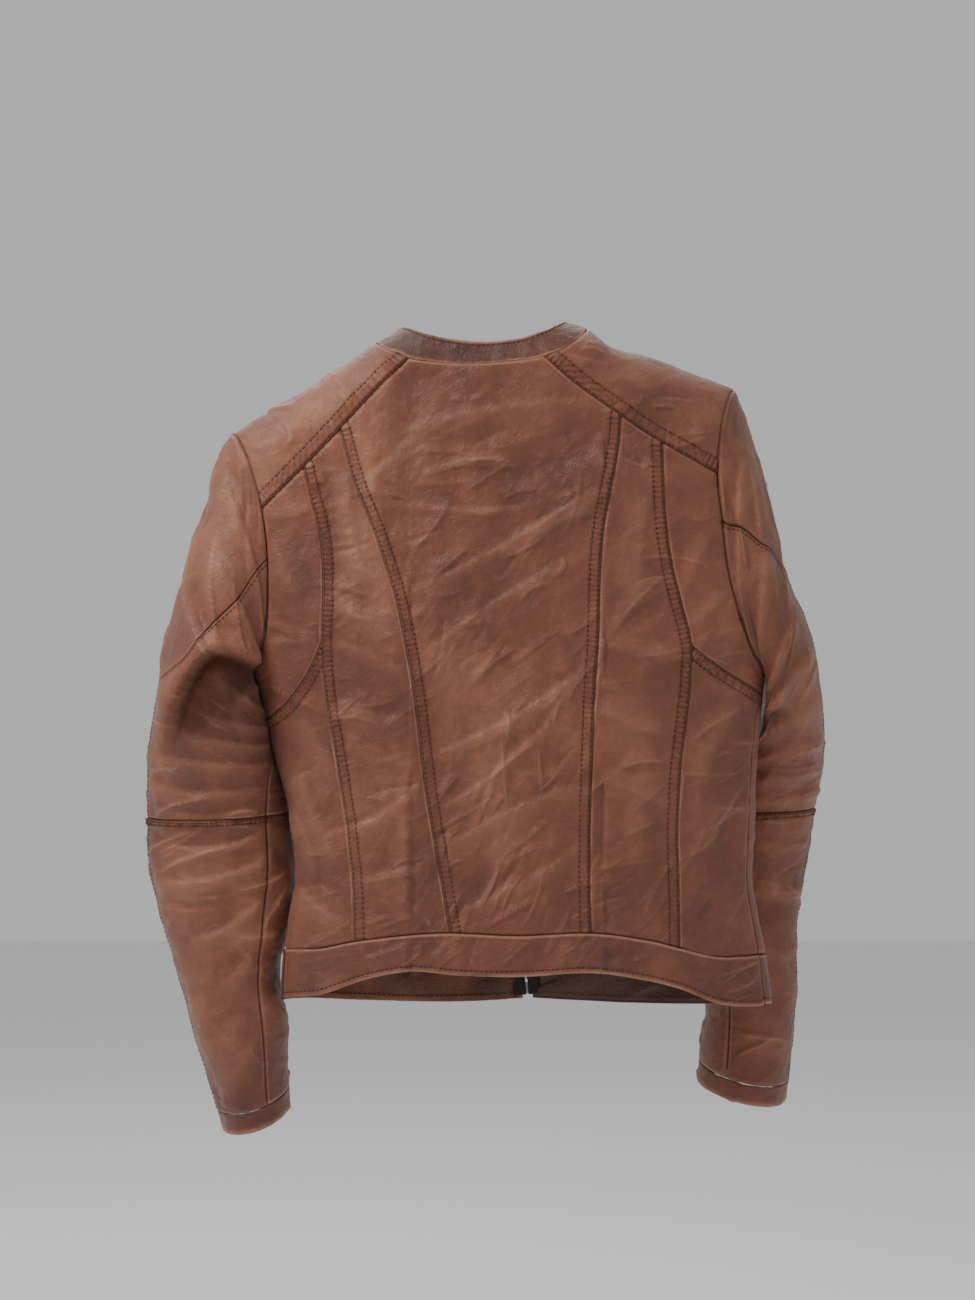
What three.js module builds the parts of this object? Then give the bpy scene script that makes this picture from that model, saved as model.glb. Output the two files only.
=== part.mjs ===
import * as THREE from 'three';

// Leather riding jacket hanging with its front zip closed. Millimetres, +Z up, +X is the
// wearer's left and the front faces -Y. The origin is the middle of the back neck seam.

// Driving sizes.
const CHEST_WIDTH = 436;
const BODY_LENGTH = 541;
const BACK_DEPTH = 60;
const FRONT_DEPTH = 62;
const SHOULDER_ROUND = 45;
const SLEEVE_DEPTH = 59;
const LEATHER = 1.2;
const LINING = 0.8;
const SEAM_GAP = 0.35;
const LINING_DROP = 8.8;
const LINING_TOP = 7;
const LINING_INSET = 4;
const LINING_EDGE_DROP = 2.1;
const COLLAR_GAP = 0.9;
const SLEEVE_GAP = 1.35;
const SIDE_SEAM_LEFT = 86;
const SIDE_SEAM_RIGHT = -76;

// Zip sizes, all across the zip line.
const TOOTH_CLEAR = 0.6;
const TOOTH_REACH = 2.6;
const TAPE_START = 1.8;
const TAPE_END = 12;
const FRONT_EDGE = 4.5;

const WIDE = CHEST_WIDTH / 436;
const LONG = BODY_LENGTH / 541;
const ROUNDNESS = 2.6;
const HALF_TURN = Math.PI;

const COGNAC = '#8a5238';
const DARK_LINING = '#33231d';
const ZIP_TAPE = '#2a2422';
const ZIP_METAL = '#77726b';

// ---------------------------------------------------------------- curves

const clamp = (value, low, high) => Math.min(high, Math.max(low, value));

function hermite(knots, values, at) {
  const last = knots.length - 1;
  const t = clamp(at, knots[0], knots[last]);
  let k = 0;
  while (k < last - 1 && t > knots[k + 1]) {
    k += 1;
  }
  const slope = (a, b) => (values[b] - values[a]) / (knots[b] - knots[a]);
  const left = slope(Math.max(k - 1, 0), k + 1);
  const right = slope(k, Math.min(k + 2, last));
  const span = knots[k + 1] - knots[k];
  const f = (t - knots[k]) / span;
  const g = 1 - f;
  const ends = values[k] * (1 + 2 * f) * g * g + values[k + 1] * (3 - 2 * f) * f * f;
  return ends + span * f * g * (left * g - right * f);
}

// A smooth curve through hand-chosen points of any dimension, t from 0 to 1.
function curve(points) {
  const knots = [0];
  for (let i = 1; i < points.length; i += 1) {
    const step = Math.hypot(...points[i].map((value, k) => value - points[i - 1][k]));
    knots.push(knots[i - 1] + step);
  }
  const total = knots[knots.length - 1];
  const lanes = points[0].map((_, k) => points.map((point) => point[k]));
  return (t) => lanes.map((lane) => hermite(knots, lane, t * total));
}

function table(rows) {
  const knots = rows.map((row) => row[0]);
  const values = rows.map((row) => row[1]);
  return (at) => hermite(knots, values, at);
}

const sized = (points) => points.map(([x, z]) => [x * WIDE, z * LONG]);
const heightTable = (rows) => table(rows.map(([z, x]) => [z * LONG, x * WIDE]));

function sample(line, count, from = 0, to = 1) {
  const out = [];
  for (let i = 0; i <= count; i += 1) {
    out.push(line(from + ((to - from) * i) / count));
  }
  return out;
}

function chain(...runs) {
  return runs.reduce((all, run) => all.concat(all.length ? run.slice(1) : run), []);
}

// The place along a line where its second value (the height) reaches a level.
function whereHeight(line, level) {
  let best = 0;
  for (let i = 0; i <= 400; i += 1) {
    if (Math.abs(line(i / 400)[1] - level) < Math.abs(line(best)[1] - level)) {
      best = i / 400;
    }
  }
  return best;
}

// ---------------------------------------------------------------- body surface

const leftEdge = heightTable([[-560, 170], [-494, 166], [-455, 161], [-418, 158], [-363, 166],
  [-321, 177], [-290, 186], [-261, 196], [-200, 214], [-130, 230], [-60, 240], [60, 250]]);
const rightEdge = heightTable([[-560, -245], [-501, -238], [-470, -232], [-427, -227],
  [-368, -230], [-303, -235], [-266, -238], [-240, -245], [-200, -253], [-130, -261],
  [-30, -267], [60, -270]]);
const ridge = table(sized([[-270, -50], [-210, -24], [-166, -8], [-132, 4], [-107, 14],
  [-88, 28], [-50, 44], [0, 52], [50, 40], [90, 16], [120, -3], [154, -24], [187, -45],
  [210, -61], [260, -95]]));
const backDepth = table([[-560, 0.93], [-420, 0.92], [-300, 1.0], [-180, 1.03], [-60, 0.94],
  [0, 0.87], [60, 0.85]].map(([z, k]) => [z * LONG, k * BACK_DEPTH]));

const middle = (z) => (leftEdge(z) + rightEdge(z)) / 2;
const halfWidth = (z) => (leftEdge(z) - rightEdge(z)) / 2;
const across = (x, z) => clamp((x - middle(z)) / halfWidth(z), -1, 1);

// Angle round the body: 0 at the back, a quarter turn at the left side, a half turn in front.
function angleOf(x, z, face) {
  const lean = Math.asin(across(x, z));
  if (face === 'left') {
    return HALF_TURN - lean;
  }
  return face === 'right' ? -HALF_TURN - lean : lean;
}

function bodyPoint([angle, z]) {
  const u = Math.sin(angle);
  const x = middle(z) + halfWidth(z) * u;
  const under = clamp((ridge(x) - z) / SHOULDER_ROUND, 0, 1);
  const round = Math.sqrt(1 - (1 - under) ** 2);
  const flat = Math.sqrt(Math.max(0, 1 - Math.abs(u) ** ROUNDNESS)) * Math.sign(Math.cos(angle));
  const depth = flat > 0 ? backDepth(z) : FRONT_DEPTH;
  return new THREE.Vector3(x, flat * depth * round, z);
}

// Over-the-shoulder measure: distance down from the ridge, positive on the back.
function overShoulder(x, z, face) {
  const down = Math.max(0, ridge(x) - z);
  const quarter = (SHOULDER_ROUND * HALF_TURN) / 2;
  const near = SHOULDER_ROUND * Math.acos(clamp(1 - down / SHOULDER_ROUND, -1, 1));
  const length = down < SHOULDER_ROUND ? near : quarter + down - SHOULDER_ROUND;
  return face === 'back' ? length : -length;
}

function shoulderSpot([x, over]) {
  const quarter = (SHOULDER_ROUND * HALF_TURN) / 2;
  const length = Math.abs(over);
  const near = SHOULDER_ROUND * (1 - Math.cos(length / SHOULDER_ROUND));
  const down = length < quarter ? near : SHOULDER_ROUND + length - quarter;
  return [x, ridge(x) - down];
}

function shoulderPoint([x, over]) {
  const z = shoulderSpot([x, over])[1];
  const quarter = (SHOULDER_ROUND * HALF_TURN) / 2;
  const round = Math.sin(Math.min(Math.abs(over), quarter) / SHOULDER_ROUND);
  const flat = Math.sqrt(Math.max(0, 1 - Math.abs(across(x, z)) ** ROUNDNESS));
  const depth = over > 0 ? backDepth(z) : FRONT_DEPTH;
  return new THREE.Vector3(x, Math.sign(over) * flat * depth * round, z);
}

// ---------------------------------------------------------------- seam lines

const onBody = (points) => curve(sized(points));
const turned = (line, face) => (t) => {
  const [x, z] = line(t);
  return [angleOf(x, z, face), z];
};
const shouldered = (line, face) => (t) => {
  const [x, z] = line(t);
  return [x, overShoulder(x, z, face)];
};

const yokeBack = {
  left: onBody([[61, -1], [91, -31], [118, -60], [145, -88], [183, -125]]),
  right: onBody([[-50, 0], [-74, -21], [-109, -46], [-144, -69], [-194, -96]]),
};
const yokeFront = {
  left: onBody([[76, -14], [112, -41], [150, -70], [190, -98]]),
  right: onBody([[-75, -8], [-112, -32], [-150, -50], [-197, -68]]),
};
const neckBack = onBody([[90, 16], [82, 9], [68, 3], [61, -1], [43, -4], [10, -6], [-23, -4],
  [-50, 0], [-70, 9], [-82, 19], [-88, 28]]);
const neckFront = {
  left: onBody([[90, 16], [85, 2], [76, -14], [60, -34], [40, -50], [22, -60], [3.5, -65]]),
  right: onBody([[-88, 28], [-84, 10], [-75, -8], [-60, -30], [-42, -47], [-24, -59],
    [-5.5, -65]]),
};
const innerBack = {
  left: onBody([[118, -60], [105, -106], [91, -140], [80, -172], [71, -201], [63, -240],
    [57, -275], [52, -316], [47, -357], [41, -394], [33, -439], [27, -475]]),
  right: onBody([[-114, -49], [-112, -75], [-106, -106], [-100, -140], [-97, -172],
    [-95, -234], [-92, -275], [-90, -328], [-88, -418], [-89, -475]]),
};
const outerBack = {
  left: onBody([[148, -91], [143, -114], [137, -135], [133, -160], [132, -200], [133, -234],
    [131, -272], [125, -310], [119, -343], [114, -375], [110, -407], [107, -444],
    [106, -483]]),
  right: onBody([[-148, -71], [-149, -102], [-151, -135], [-156, -170], [-164, -204],
    [-172, -238], [-172, -270], [-168, -302], [-163, -345], [-161, -391], [-162, -436],
    [-163, -488]]),
};
const armCurve = {
  left: onBody([[134, -234], [141, -248], [153, -268], [168, -287], [184, -300]]),
  right: onBody([[-172, -238], [-185, -251], [-203, -265], [-230, -280]]),
};
const frontPrincess = {
  left: onBody([[112, -41], [104, -130], [92, -200], [83, -270], [77, -340], [73, -420],
    [71, -500]]),
  right: onBody([[-112, -32], [-110, -120], [-106, -200], [-108, -280], [-113, -350],
    [-119, -420], [-122, -502]]),
};
const bandTopBack = onBody([[165, -493], [137, -490], [106, -483], [61, -477], [27, -475],
  [-30, -477], [-89, -475], [-135, -481], [-163, -488], [-195, -496], [-236, -496]]);
const hemBack = onBody([[169, -535], [150, -532], [128, -526], [96, -514], [60, -507],
  [20, -510], [-30, -511], [-89, -508], [-132, -514], [-163, -522], [-195, -535],
  [-222, -539], [-242, -537]]);
const bandTopFront = {
  left: onBody([[165, -493], [120, -499], [71, -500], [20, -501], [-31, -501]]),
  right: onBody([[-236, -496], [-180, -502], [-122, -502], [-80, -502], [-41, -501]]),
};
const hemFront = {
  left: onBody([[169, -535], [120, -540], [71, -543], [20, -544], [-34, -541]]),
  right: onBody([[-242, -537], [-200, -544], [-122, -545], [-80, -543], [-43, -541]]),
};

const ZIP_TOP = [-1 * WIDE, -67 * LONG];
const ZIP_END = [-38.5 * WIDE, -541 * LONG];
const zipX = (z) => ZIP_TOP[0] + ((ZIP_END[0] - ZIP_TOP[0]) * (ZIP_TOP[1] - z))
  / (ZIP_TOP[1] - ZIP_END[1]);

// Armhole lines run from the back armpit over the shoulder tip to the front armpit.
const ARMHOLES = {
  left: [[196, -261], [186, -246], [180, -227], [178, -201], [178, -168], [183, -125],
    [192, -91], [204, -66], [210, -61]],
  right: [[-238, -266], [-226, -246], [-215, -221], [-206, -191], [-201, -168],
    [-196, -121], [-194, -96], [-197, -60], [-206, -28], [-210, -24]],
};

function armholeLine(side) {
  const half = sized(ARMHOLES[side]);
  half[0][0] = side === 'left' ? leftEdge(half[0][1]) : rightEdge(half[0][1]);
  half[half.length - 1][1] = ridge(half[half.length - 1][0]);
  const back = half.map(([x, z]) => [x, overShoulder(x, z, 'back')]);
  const front = half.slice(0, -1).reverse().map(([x, z]) => [x, overShoulder(x, z, side)]);
  return curve(back.concat(front));
}

const armholes = { left: armholeLine('left'), right: armholeLine('right') };

function armholeTurned(side, from, to, count, face) {
  return sample(armholes[side], count, from, to).map((spot) => {
    const [x, z] = shoulderSpot(spot);
    return [angleOf(x, z, face), z];
  });
}

function sideSeam(side) {
  const sign = side === 'left' ? 1 : -1;
  const level = side === 'left' ? SIDE_SEAM_LEFT : Math.abs(SIDE_SEAM_RIGHT);
  const armpit = shoulderSpot(armholes[side](0));
  const top = armpit[1];
  const rows = [[90, top], [90 - (90 - level) * 0.5, top - 14 * LONG], [level, top - 38 * LONG],
    [level, -400 * LONG], [level, -493 * LONG], [level, -537 * LONG]];
  const knots = rows.map(([, z]) => -z);
  const values = rows.map(([degrees]) => (sign * degrees * HALF_TURN) / 180);
  return (z) => [hermite(knots, values, -z), z];
}

const sides = { left: sideSeam('left'), right: sideSeam('right') };

function sideRun(side, from, to, count) {
  return sample((t) => sides[side](from + (to - from) * t), count);
}

// ---------------------------------------------------------------- patches and shells

// Fills a four-sided patch from its border samples, in whatever surface measure they use.
function fill(top, bottom, left, right) {
  const across1 = top.length - 1;
  const down = left.length - 1;
  const rows = [];
  for (let j = 0; j <= down; j += 1) {
    const t = j / down;
    const row = [];
    for (let i = 0; i <= across1; i += 1) {
      const s = i / across1;
      row.push([0, 1].map((k) => {
        const plain = (1 - s) * left[j][k] + s * right[j][k] + (1 - t) * top[i][k]
          + t * bottom[i][k];
        const upper = (1 - s) * top[0][k] + s * top[across1][k];
        const lower = (1 - s) * bottom[0][k] + s * bottom[across1][k];
        return plain - (1 - t) * upper - t * lower;
      }));
    }
    rows.push(row);
  }
  return rows;
}

function pulledIn(rows, point, gap) {
  const last = rows.length - 1;
  const wide = rows[0].length - 1;
  const move = (a, b, distance) => {
    const length = point(a).distanceTo(point(b));
    const f = Math.min(0.45, distance / Math.max(length, 1e-6));
    return [a[0] + (b[0] - a[0]) * f, a[1] + (b[1] - a[1]) * f];
  };
  const sideways = rows.map((row) => {
    const out = row.map((spot) => spot.slice());
    out[0] = move(row[0], row[1], gap);
    out[wide] = move(row[wide], row[wide - 1], gap);
    return out;
  });
  const upDown = sideways.map((row) => row.map((spot) => spot.slice()));
  for (let i = 0; i <= wide; i += 1) {
    upDown[0][i] = move(sideways[0][i], sideways[1][i], gap);
    upDown[last][i] = move(sideways[last][i], sideways[last - 1][i], gap);
  }
  return upDown;
}

function gridNormals(grid, looped) {
  const down = grid.length - 1;
  const wide = grid[0].length - 1;
  const pick = (j, i) => {
    const size = wide + 1;
    const column = looped ? (i + size) % size : clamp(i, 0, wide);
    return grid[clamp(j, 0, down)][column];
  };
  return grid.map((row, j) => row.map((_, i) => {
    const along = pick(j, i + 1).clone().sub(pick(j, i - 1));
    const downward = pick(j + 1, i).clone().sub(pick(j - 1, i));
    return along.cross(downward).normalize();
  }));
}

// Surface directions at each spot, from small steps in the surface's own two measures.
function surfaceNormals(spots, point, [stepA, stepB]) {
  return spots.map((row) => row.map(([a, b]) => {
    const along = point([a + stepA, b]).sub(point([a - stepA, b]));
    const downward = point([a, b - stepB]).sub(point([a, b + stepB]));
    return along.cross(downward).normalize();
  }));
}

// Closed thin body between two offsets of a grid, measured inward from it.
function shell(grid, normals, centre, outer, inner, looped = false) {
  const down = grid.length - 1;
  const wide = grid[0].length - 1;
  const jm = Math.floor(down / 2);
  const im = Math.floor(wide / 2);
  const hint = grid[jm][im].clone().sub(centre);
  const sign = normals[jm][im].dot(hint) > 0 ? 1 : -1;
  const depthOf = (offset, j, i) => (typeof offset === 'function' ? offset(j / down, i / wide)
    : offset);
  const positions = [];
  const place = (offset) => grid.forEach((row, j) => row.forEach((spot, i) => {
    const push = -sign * depthOf(offset, j, i);
    const moved = spot.clone().addScaledVector(normals[j][i], push);
    positions.push(moved.x, moved.y, moved.z);
  }));
  place(outer);
  place(inner);
  const size = wide + 1;
  const layer = (down + 1) * size;
  const faces = [];
  const quad = (a, b, c, d) => faces.push(a, b, c, a, c, d);
  const columns = looped ? size : wide;
  for (let j = 0; j < down; j += 1) {
    for (let i = 0; i < columns; i += 1) {
      const k = (i + 1) % size;
      const a = j * size + i;
      const b = j * size + k;
      const c = (j + 1) * size + k;
      const d = (j + 1) * size + i;
      quad(a, b, c, d);
      quad(layer + a, layer + d, layer + c, layer + b);
    }
  }
  for (let i = 0; i < columns; i += 1) {
    const k = (i + 1) % size;
    quad(i + layer, k + layer, k, i);
    const low = down * size;
    quad(low + i, low + k, low + k + layer, low + i + layer);
  }
  if (!looped) {
    for (let j = 0; j < down; j += 1) {
      const a = j * size;
      const b = (j + 1) * size;
      quad(a, b, b + layer, a + layer);
      quad(a + wide + layer, b + wide + layer, b + wide, a + wide);
    }
  }
  const geometry = new THREE.BufferGeometry();
  geometry.setAttribute('position', new THREE.Float32BufferAttribute(positions, 3));
  geometry.setIndex(faces);
  return facingOut(geometry);
}

function facingOut(geometry) {
  const spots = geometry.getAttribute('position');
  const index = geometry.getIndex().array;
  const a = new THREE.Vector3();
  const b = new THREE.Vector3();
  const c = new THREE.Vector3();
  let volume = 0;
  for (let i = 0; i < index.length; i += 3) {
    a.fromBufferAttribute(spots, index[i]);
    b.fromBufferAttribute(spots, index[i + 1]);
    c.fromBufferAttribute(spots, index[i + 2]);
    volume += a.dot(b.cross(c));
  }
  if (volume < 0) {
    for (let i = 0; i < index.length; i += 3) {
      [index[i], index[i + 1]] = [index[i + 1], index[i]];
    }
  }
  geometry.computeVertexNormals();
  return geometry;
}

const group = new THREE.Group();
group.name = 'riding_jacket';

function add(name, geometry, colour, roughness = 0.6, metalness = 0) {
  const material = new THREE.MeshStandardMaterial({ color: colour, roughness, metalness });
  const mesh = new THREE.Mesh(geometry, material);
  mesh.name = name;
  group.add(mesh);
}

const BODY_CENTRE = new THREE.Vector3(-20 * WIDE, 0, -260 * LONG);

const BODY_STEP = [0.004, 0.3];
const SHOULDER_STEP = [0.3, 0.3];
const SLEEVE_STEP = [0.01, 0.01];

function bodyShell(spots, outer, inner) {
  const grid = spots.map((row) => row.map(bodyPoint));
  const normals = surfaceNormals(spots, bodyPoint, BODY_STEP);
  return shell(grid, normals, BODY_CENTRE, outer, inner);
}

function bodyPanel(name, top, bottom, left, right, thickness = LEATHER) {
  const spots = pulledIn(fill(top, bottom, left, right), bodyPoint, SEAM_GAP);
  add(name, bodyShell(spots, 0, thickness), COGNAC);
}

const nearX = (line, x) => {
  let best = 0;
  for (let i = 0; i <= 400; i += 1) {
    if (Math.abs(line(i / 400)[0] - x * WIDE) < Math.abs(line(best)[0] - x * WIDE)) {
      best = i / 400;
    }
  }
  return best;
};

// ---------------------------------------------------------------- back of the body

const topsX = { left: [118, 148], right: [-114, -148] };
const bottomsX = { left: [27, 106], right: [-89, -163] };
const backCorner = { left: 61, right: -50 };
const yokeLevel = { left: -125, right: -96 };

const armholeCut = (side, level, front) => {
  let best = front ? 1 : 0;
  for (let i = 0; i <= 400; i += 1) {
    const t = front ? 0.5 + i / 800 : i / 800;
    const gap = (s) => Math.abs(shoulderSpot(armholes[side](s))[1] - level * LONG);
    best = gap(t) < gap(best) ? t : best;
  }
  return best;
};

// Rows down the princess seams, split where the armhole panel ends.
const ARMHOLE_ROWS = 10;
const SIDE_ROWS = 6;
const PRINCESS_ROWS = ARMHOLE_ROWS + SIDE_ROWS;

function outerRuns(side) {
  const line = turned(outerBack[side], 'back');
  const meet = whereHeight(outerBack[side], armCurve[side](0)[1]);
  return [sample(line, ARMHOLE_ROWS, 0, meet), sample(line, SIDE_ROWS, meet, 1)];
}

function backCentrePanel() {
  const cuts = { left: nearX(yokeBack.left, 118), right: nearX(yokeBack.right, -114) };
  const neck = [nearX(neckBack, 61), nearX(neckBack, -50)];
  const top = chain(
    sample(turned(yokeBack.left, 'back'), 3, cuts.left, 0),
    sample(turned(neckBack, 'back'), 6, neck[0], neck[1]),
    sample(turned(yokeBack.right, 'back'), 3, 0, cuts.right),
  );
  const band = [nearX(bandTopBack, 27), nearX(bandTopBack, -89)];
  const bottom = sample(turned(bandTopBack, 'back'), 12, band[0], band[1]);
  const left = sample(turned(innerBack.left, 'back'), PRINCESS_ROWS);
  const right = sample(turned(innerBack.right, 'back'), PRINCESS_ROWS);
  left[0] = top[0];
  left[PRINCESS_ROWS] = bottom[0];
  right[0] = top[12];
  right[PRINCESS_ROWS] = bottom[12];
  bodyPanel('back_center_panel', top, bottom, left, right);
}

function backMidPanel(side) {
  const yoke = turned(yokeBack[side], 'back');
  const [innerX, outerX] = topsX[side];
  const [innerLow, outerLow] = bottomsX[side];
  const top = sample(yoke, 4, nearX(yokeBack[side], innerX), nearX(yokeBack[side], outerX));
  const band = turned(bandTopBack, 'back');
  const bottom = sample(band, 4, nearX(bandTopBack, innerLow), nearX(bandTopBack, outerLow));
  const left = sample(turned(innerBack[side], 'back'), PRINCESS_ROWS);
  const right = chain(...outerRuns(side));
  left[0] = top[0];
  left[PRINCESS_ROWS] = bottom[0];
  right[0] = top[4];
  right[PRINCESS_ROWS] = bottom[4];
  bodyPanel(`back_mid_panel_${side}`, top, bottom, left, right);
}

function backArmholePanel(side) {
  const yoke = turned(yokeBack[side], 'back');
  const cut = nearX(yokeBack[side], topsX[side][1]);
  const top = sample(yoke, 4, cut, 1);
  const left = outerRuns(side)[0];
  const level = armCurve[side](1)[1];
  const start = armholeCut(side, yokeLevel[side], false);
  const armpit = shoulderSpot(armholes[side](0))[1];
  const right = chain(
    armholeTurned(side, start, 0, ARMHOLE_ROWS - 2, 'back'),
    sideRun(side, armpit, level, 2),
  );
  const bottom = sample(turned(armCurve[side], 'back'), 4);
  bottom[4] = right[ARMHOLE_ROWS];
  bottom[0] = left[ARMHOLE_ROWS];
  top[4] = right[0];
  top[0] = left[0];
  bodyPanel(`back_armhole_panel_${side}`, top, bottom, left, right);
}

function backSidePanel(side) {
  const left = outerRuns(side)[1];
  const level = armCurve[side](1)[1];
  const bandEnd = side === 'left' ? 0 : 1;
  const low = bandTopBack(bandEnd)[1];
  const right = sideRun(side, level, low, SIDE_ROWS);
  const top = sample(turned(armCurve[side], 'back'), 4);
  const band = turned(bandTopBack, 'back');
  const bottom = sample(band, 4, nearX(bandTopBack, bottomsX[side][1]), bandEnd);
  top[4] = right[0];
  top[0] = left[0];
  bottom[0] = left[SIDE_ROWS];
  bottom[4] = right[SIDE_ROWS];
  bodyPanel(`back_side_panel_${side}`, top, bottom, left, right);
}

// ---------------------------------------------------------------- shoulder yokes

const YOKE_BACK_ROWS = 5;
const YOKE_FRONT_ROWS = 4;
const YOKE_ROWS = YOKE_BACK_ROWS + YOKE_FRONT_ROWS;

function shoulderYoke(side) {
  const neckCut = nearX(neckBack, backCorner[side]);
  const neckEnd = side === 'left' ? 0 : 1;
  const frontCut = nearX(neckFront[side], side === 'left' ? 76 : -75);
  const neckRun = chain(
    sample(shouldered(neckBack, 'back'), YOKE_BACK_ROWS, neckCut, neckEnd),
    sample(shouldered(neckFront[side], side), YOKE_FRONT_ROWS, 0, frontCut),
  );
  const start = armholeCut(side, yokeLevel[side], false);
  const end = armholeCut(side, yokeFront[side](1)[1] / LONG, true);
  const tip = 0.5;
  const armRun = chain(
    sample(armholes[side], YOKE_BACK_ROWS, start, tip),
    sample(armholes[side], YOKE_FRONT_ROWS, tip, end),
  );
  const backRun = sample(shouldered(yokeBack[side], 'back'), 8);
  const frontRun = sample(shouldered(yokeFront[side], side), 8);
  backRun[0] = neckRun[0];
  backRun[8] = armRun[0];
  frontRun[0] = neckRun[YOKE_ROWS];
  frontRun[8] = armRun[YOKE_ROWS];
  const spots = pulledIn(fill(backRun, frontRun, neckRun, armRun), shoulderPoint, SEAM_GAP);
  const grid = spots.map((row) => row.map(shoulderPoint));
  const normals = surfaceNormals(spots, shoulderPoint, SHOULDER_STEP);
  add(`shoulder_yoke_${side}`, shell(grid, normals, BODY_CENTRE, 0, LEATHER), COGNAC);
}

// ---------------------------------------------------------------- front of the body

const FRONT_ROWS = PRINCESS_ROWS;
const frontSign = (side) => (side === 'left' ? 1 : -1);
const zipEdge = (side, reach) => (z) => [angleOf(zipX(z) + frontSign(side) * reach, z, side), z];

function frontPanel(side) {
  const neckCut = nearX(neckFront[side], side === 'left' ? 76 : -75);
  const yokeCut = nearX(yokeFront[side], side === 'left' ? 112 : -112);
  const neckEdge = neckFront[side](1)[1];
  const left = sample((t) => {
    const low = bandTopFront[side](1)[1];
    return zipEdge(side, FRONT_EDGE)(neckEdge + (low - neckEdge) * t);
  }, FRONT_ROWS);
  const top = chain(
    sample(turned(neckFront[side], side), 5, 1, neckCut),
    sample(turned(yokeFront[side], side), 2, 0, yokeCut),
  );
  const bandCut = nearX(bandTopFront[side], side === 'left' ? 71 : -122);
  const bottom = sample(turned(bandTopFront[side], side), 7, 1, bandCut);
  const right = sample(turned(frontPrincess[side], side), FRONT_ROWS);
  top[0] = left[0];
  bottom[0] = left[FRONT_ROWS];
  right[0] = top[7];
  right[FRONT_ROWS] = bottom[7];
  bodyPanel(`front_panel_${side}`, top, bottom, left, right);
}

function frontSidePanel(side) {
  const yokeCut = nearX(yokeFront[side], side === 'left' ? 112 : -112);
  const top = sample(turned(yokeFront[side], side), 7, yokeCut, 1);
  const left = sample(turned(frontPrincess[side], side), FRONT_ROWS);
  const start = armholeCut(side, yokeFront[side](1)[1] / LONG, true);
  const armpit = shoulderSpot(armholes[side](1))[1];
  const low = bandTopFront[side](0)[1];
  const level = armCurve[side](1)[1];
  const right = chain(
    armholeTurned(side, start, 1, ARMHOLE_ROWS - 2, side),
    sideRun(side, armpit, level, 2),
    sideRun(side, level, low, SIDE_ROWS),
  );
  const bandCut = nearX(bandTopFront[side], side === 'left' ? 71 : -122);
  const bottom = sample(turned(bandTopFront[side], side), 7, bandCut, 0);
  top[0] = left[0];
  top[7] = right[0];
  bottom[0] = left[FRONT_ROWS];
  bottom[7] = right[FRONT_ROWS];
  bodyPanel(`front_side_panel_${side}`, top, bottom, left, right);
}

// ---------------------------------------------------------------- waistband

function waistbandBack() {
  const top = sample(turned(bandTopBack, 'back'), 22);
  const bottom = sample(turned(hemBack, 'back'), 22);
  top[0] = sides.left(bandTopBack(0)[1]);
  bottom[0] = sides.left(hemBack(0)[1]);
  top[22] = sides.right(bandTopBack(1)[1]);
  bottom[22] = sides.right(hemBack(1)[1]);
  const left = sideRun('left', bandTopBack(0)[1], hemBack(0)[1], 2);
  const right = sideRun('right', bandTopBack(1)[1], hemBack(1)[1], 2);
  bodyPanel('waistband_back', top, bottom, left, right, LEATHER * 2);
}

function waistbandFront(side) {
  const top = sample(turned(bandTopFront[side], side), 12, 1, 0);
  const bottom = sample(turned(hemFront[side], side), 12, 1, 0);
  const edge = zipEdge(side, FRONT_EDGE);
  const high = bandTopFront[side](1)[1];
  const low = hemFront[side](1)[1];
  const left = [edge(high), edge((high + low) / 2), edge(low)];
  const right = sideRun(side, bandTopFront[side](0)[1], hemFront[side](0)[1], 2);
  top[0] = left[0];
  bottom[0] = left[2];
  top[12] = right[0];
  bottom[12] = right[2];
  bodyPanel(`waistband_front_${side}`, top, bottom, left, right);
}

// ---------------------------------------------------------------- collar

const COLLAR_TOP = [[4, -57, -40], [20, -56, -33], [44, -50, -15], [62, -38, 9], [70, -20, 23],
  [68, 2, 29], [61, 24, 27], [49, 39, 21], [30, 44, 16], [2, 45, 13], [-30, 44, 16],
  [-49, 39, 23], [-62, 24, 30], [-68, 2, 34], [-70, -20, 29], [-62, -38, 13], [-44, -50, -13],
  [-22, -56, -32], [-6, -57, -40]];

// The neck seam, sampled at the same points as the panels below it.
function collarSeam() {
  const cuts = { left: nearX(neckFront.left, 76), right: nearX(neckFront.right, -75) };
  const backCuts = [nearX(neckBack, backCorner.left), nearX(neckBack, backCorner.right)];
  return chain(
    sample(turned(neckFront.left, 'left'), 5, 1, cuts.left),
    sample(turned(neckFront.left, 'left'), YOKE_FRONT_ROWS, cuts.left, 0),
    sample(turned(neckBack, 'back'), YOKE_BACK_ROWS, 0, backCuts[0]),
    sample(turned(neckBack, 'back'), 6, backCuts[0], backCuts[1]),
    sample(turned(neckBack, 'back'), YOKE_BACK_ROWS, backCuts[1], 1),
    sample(turned(neckFront.right, 'right'), YOKE_FRONT_ROWS, 0, cuts.right),
    sample(turned(neckFront.right, 'right'), 5, cuts.right, 1),
  ).map(bodyPoint);
}

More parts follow.
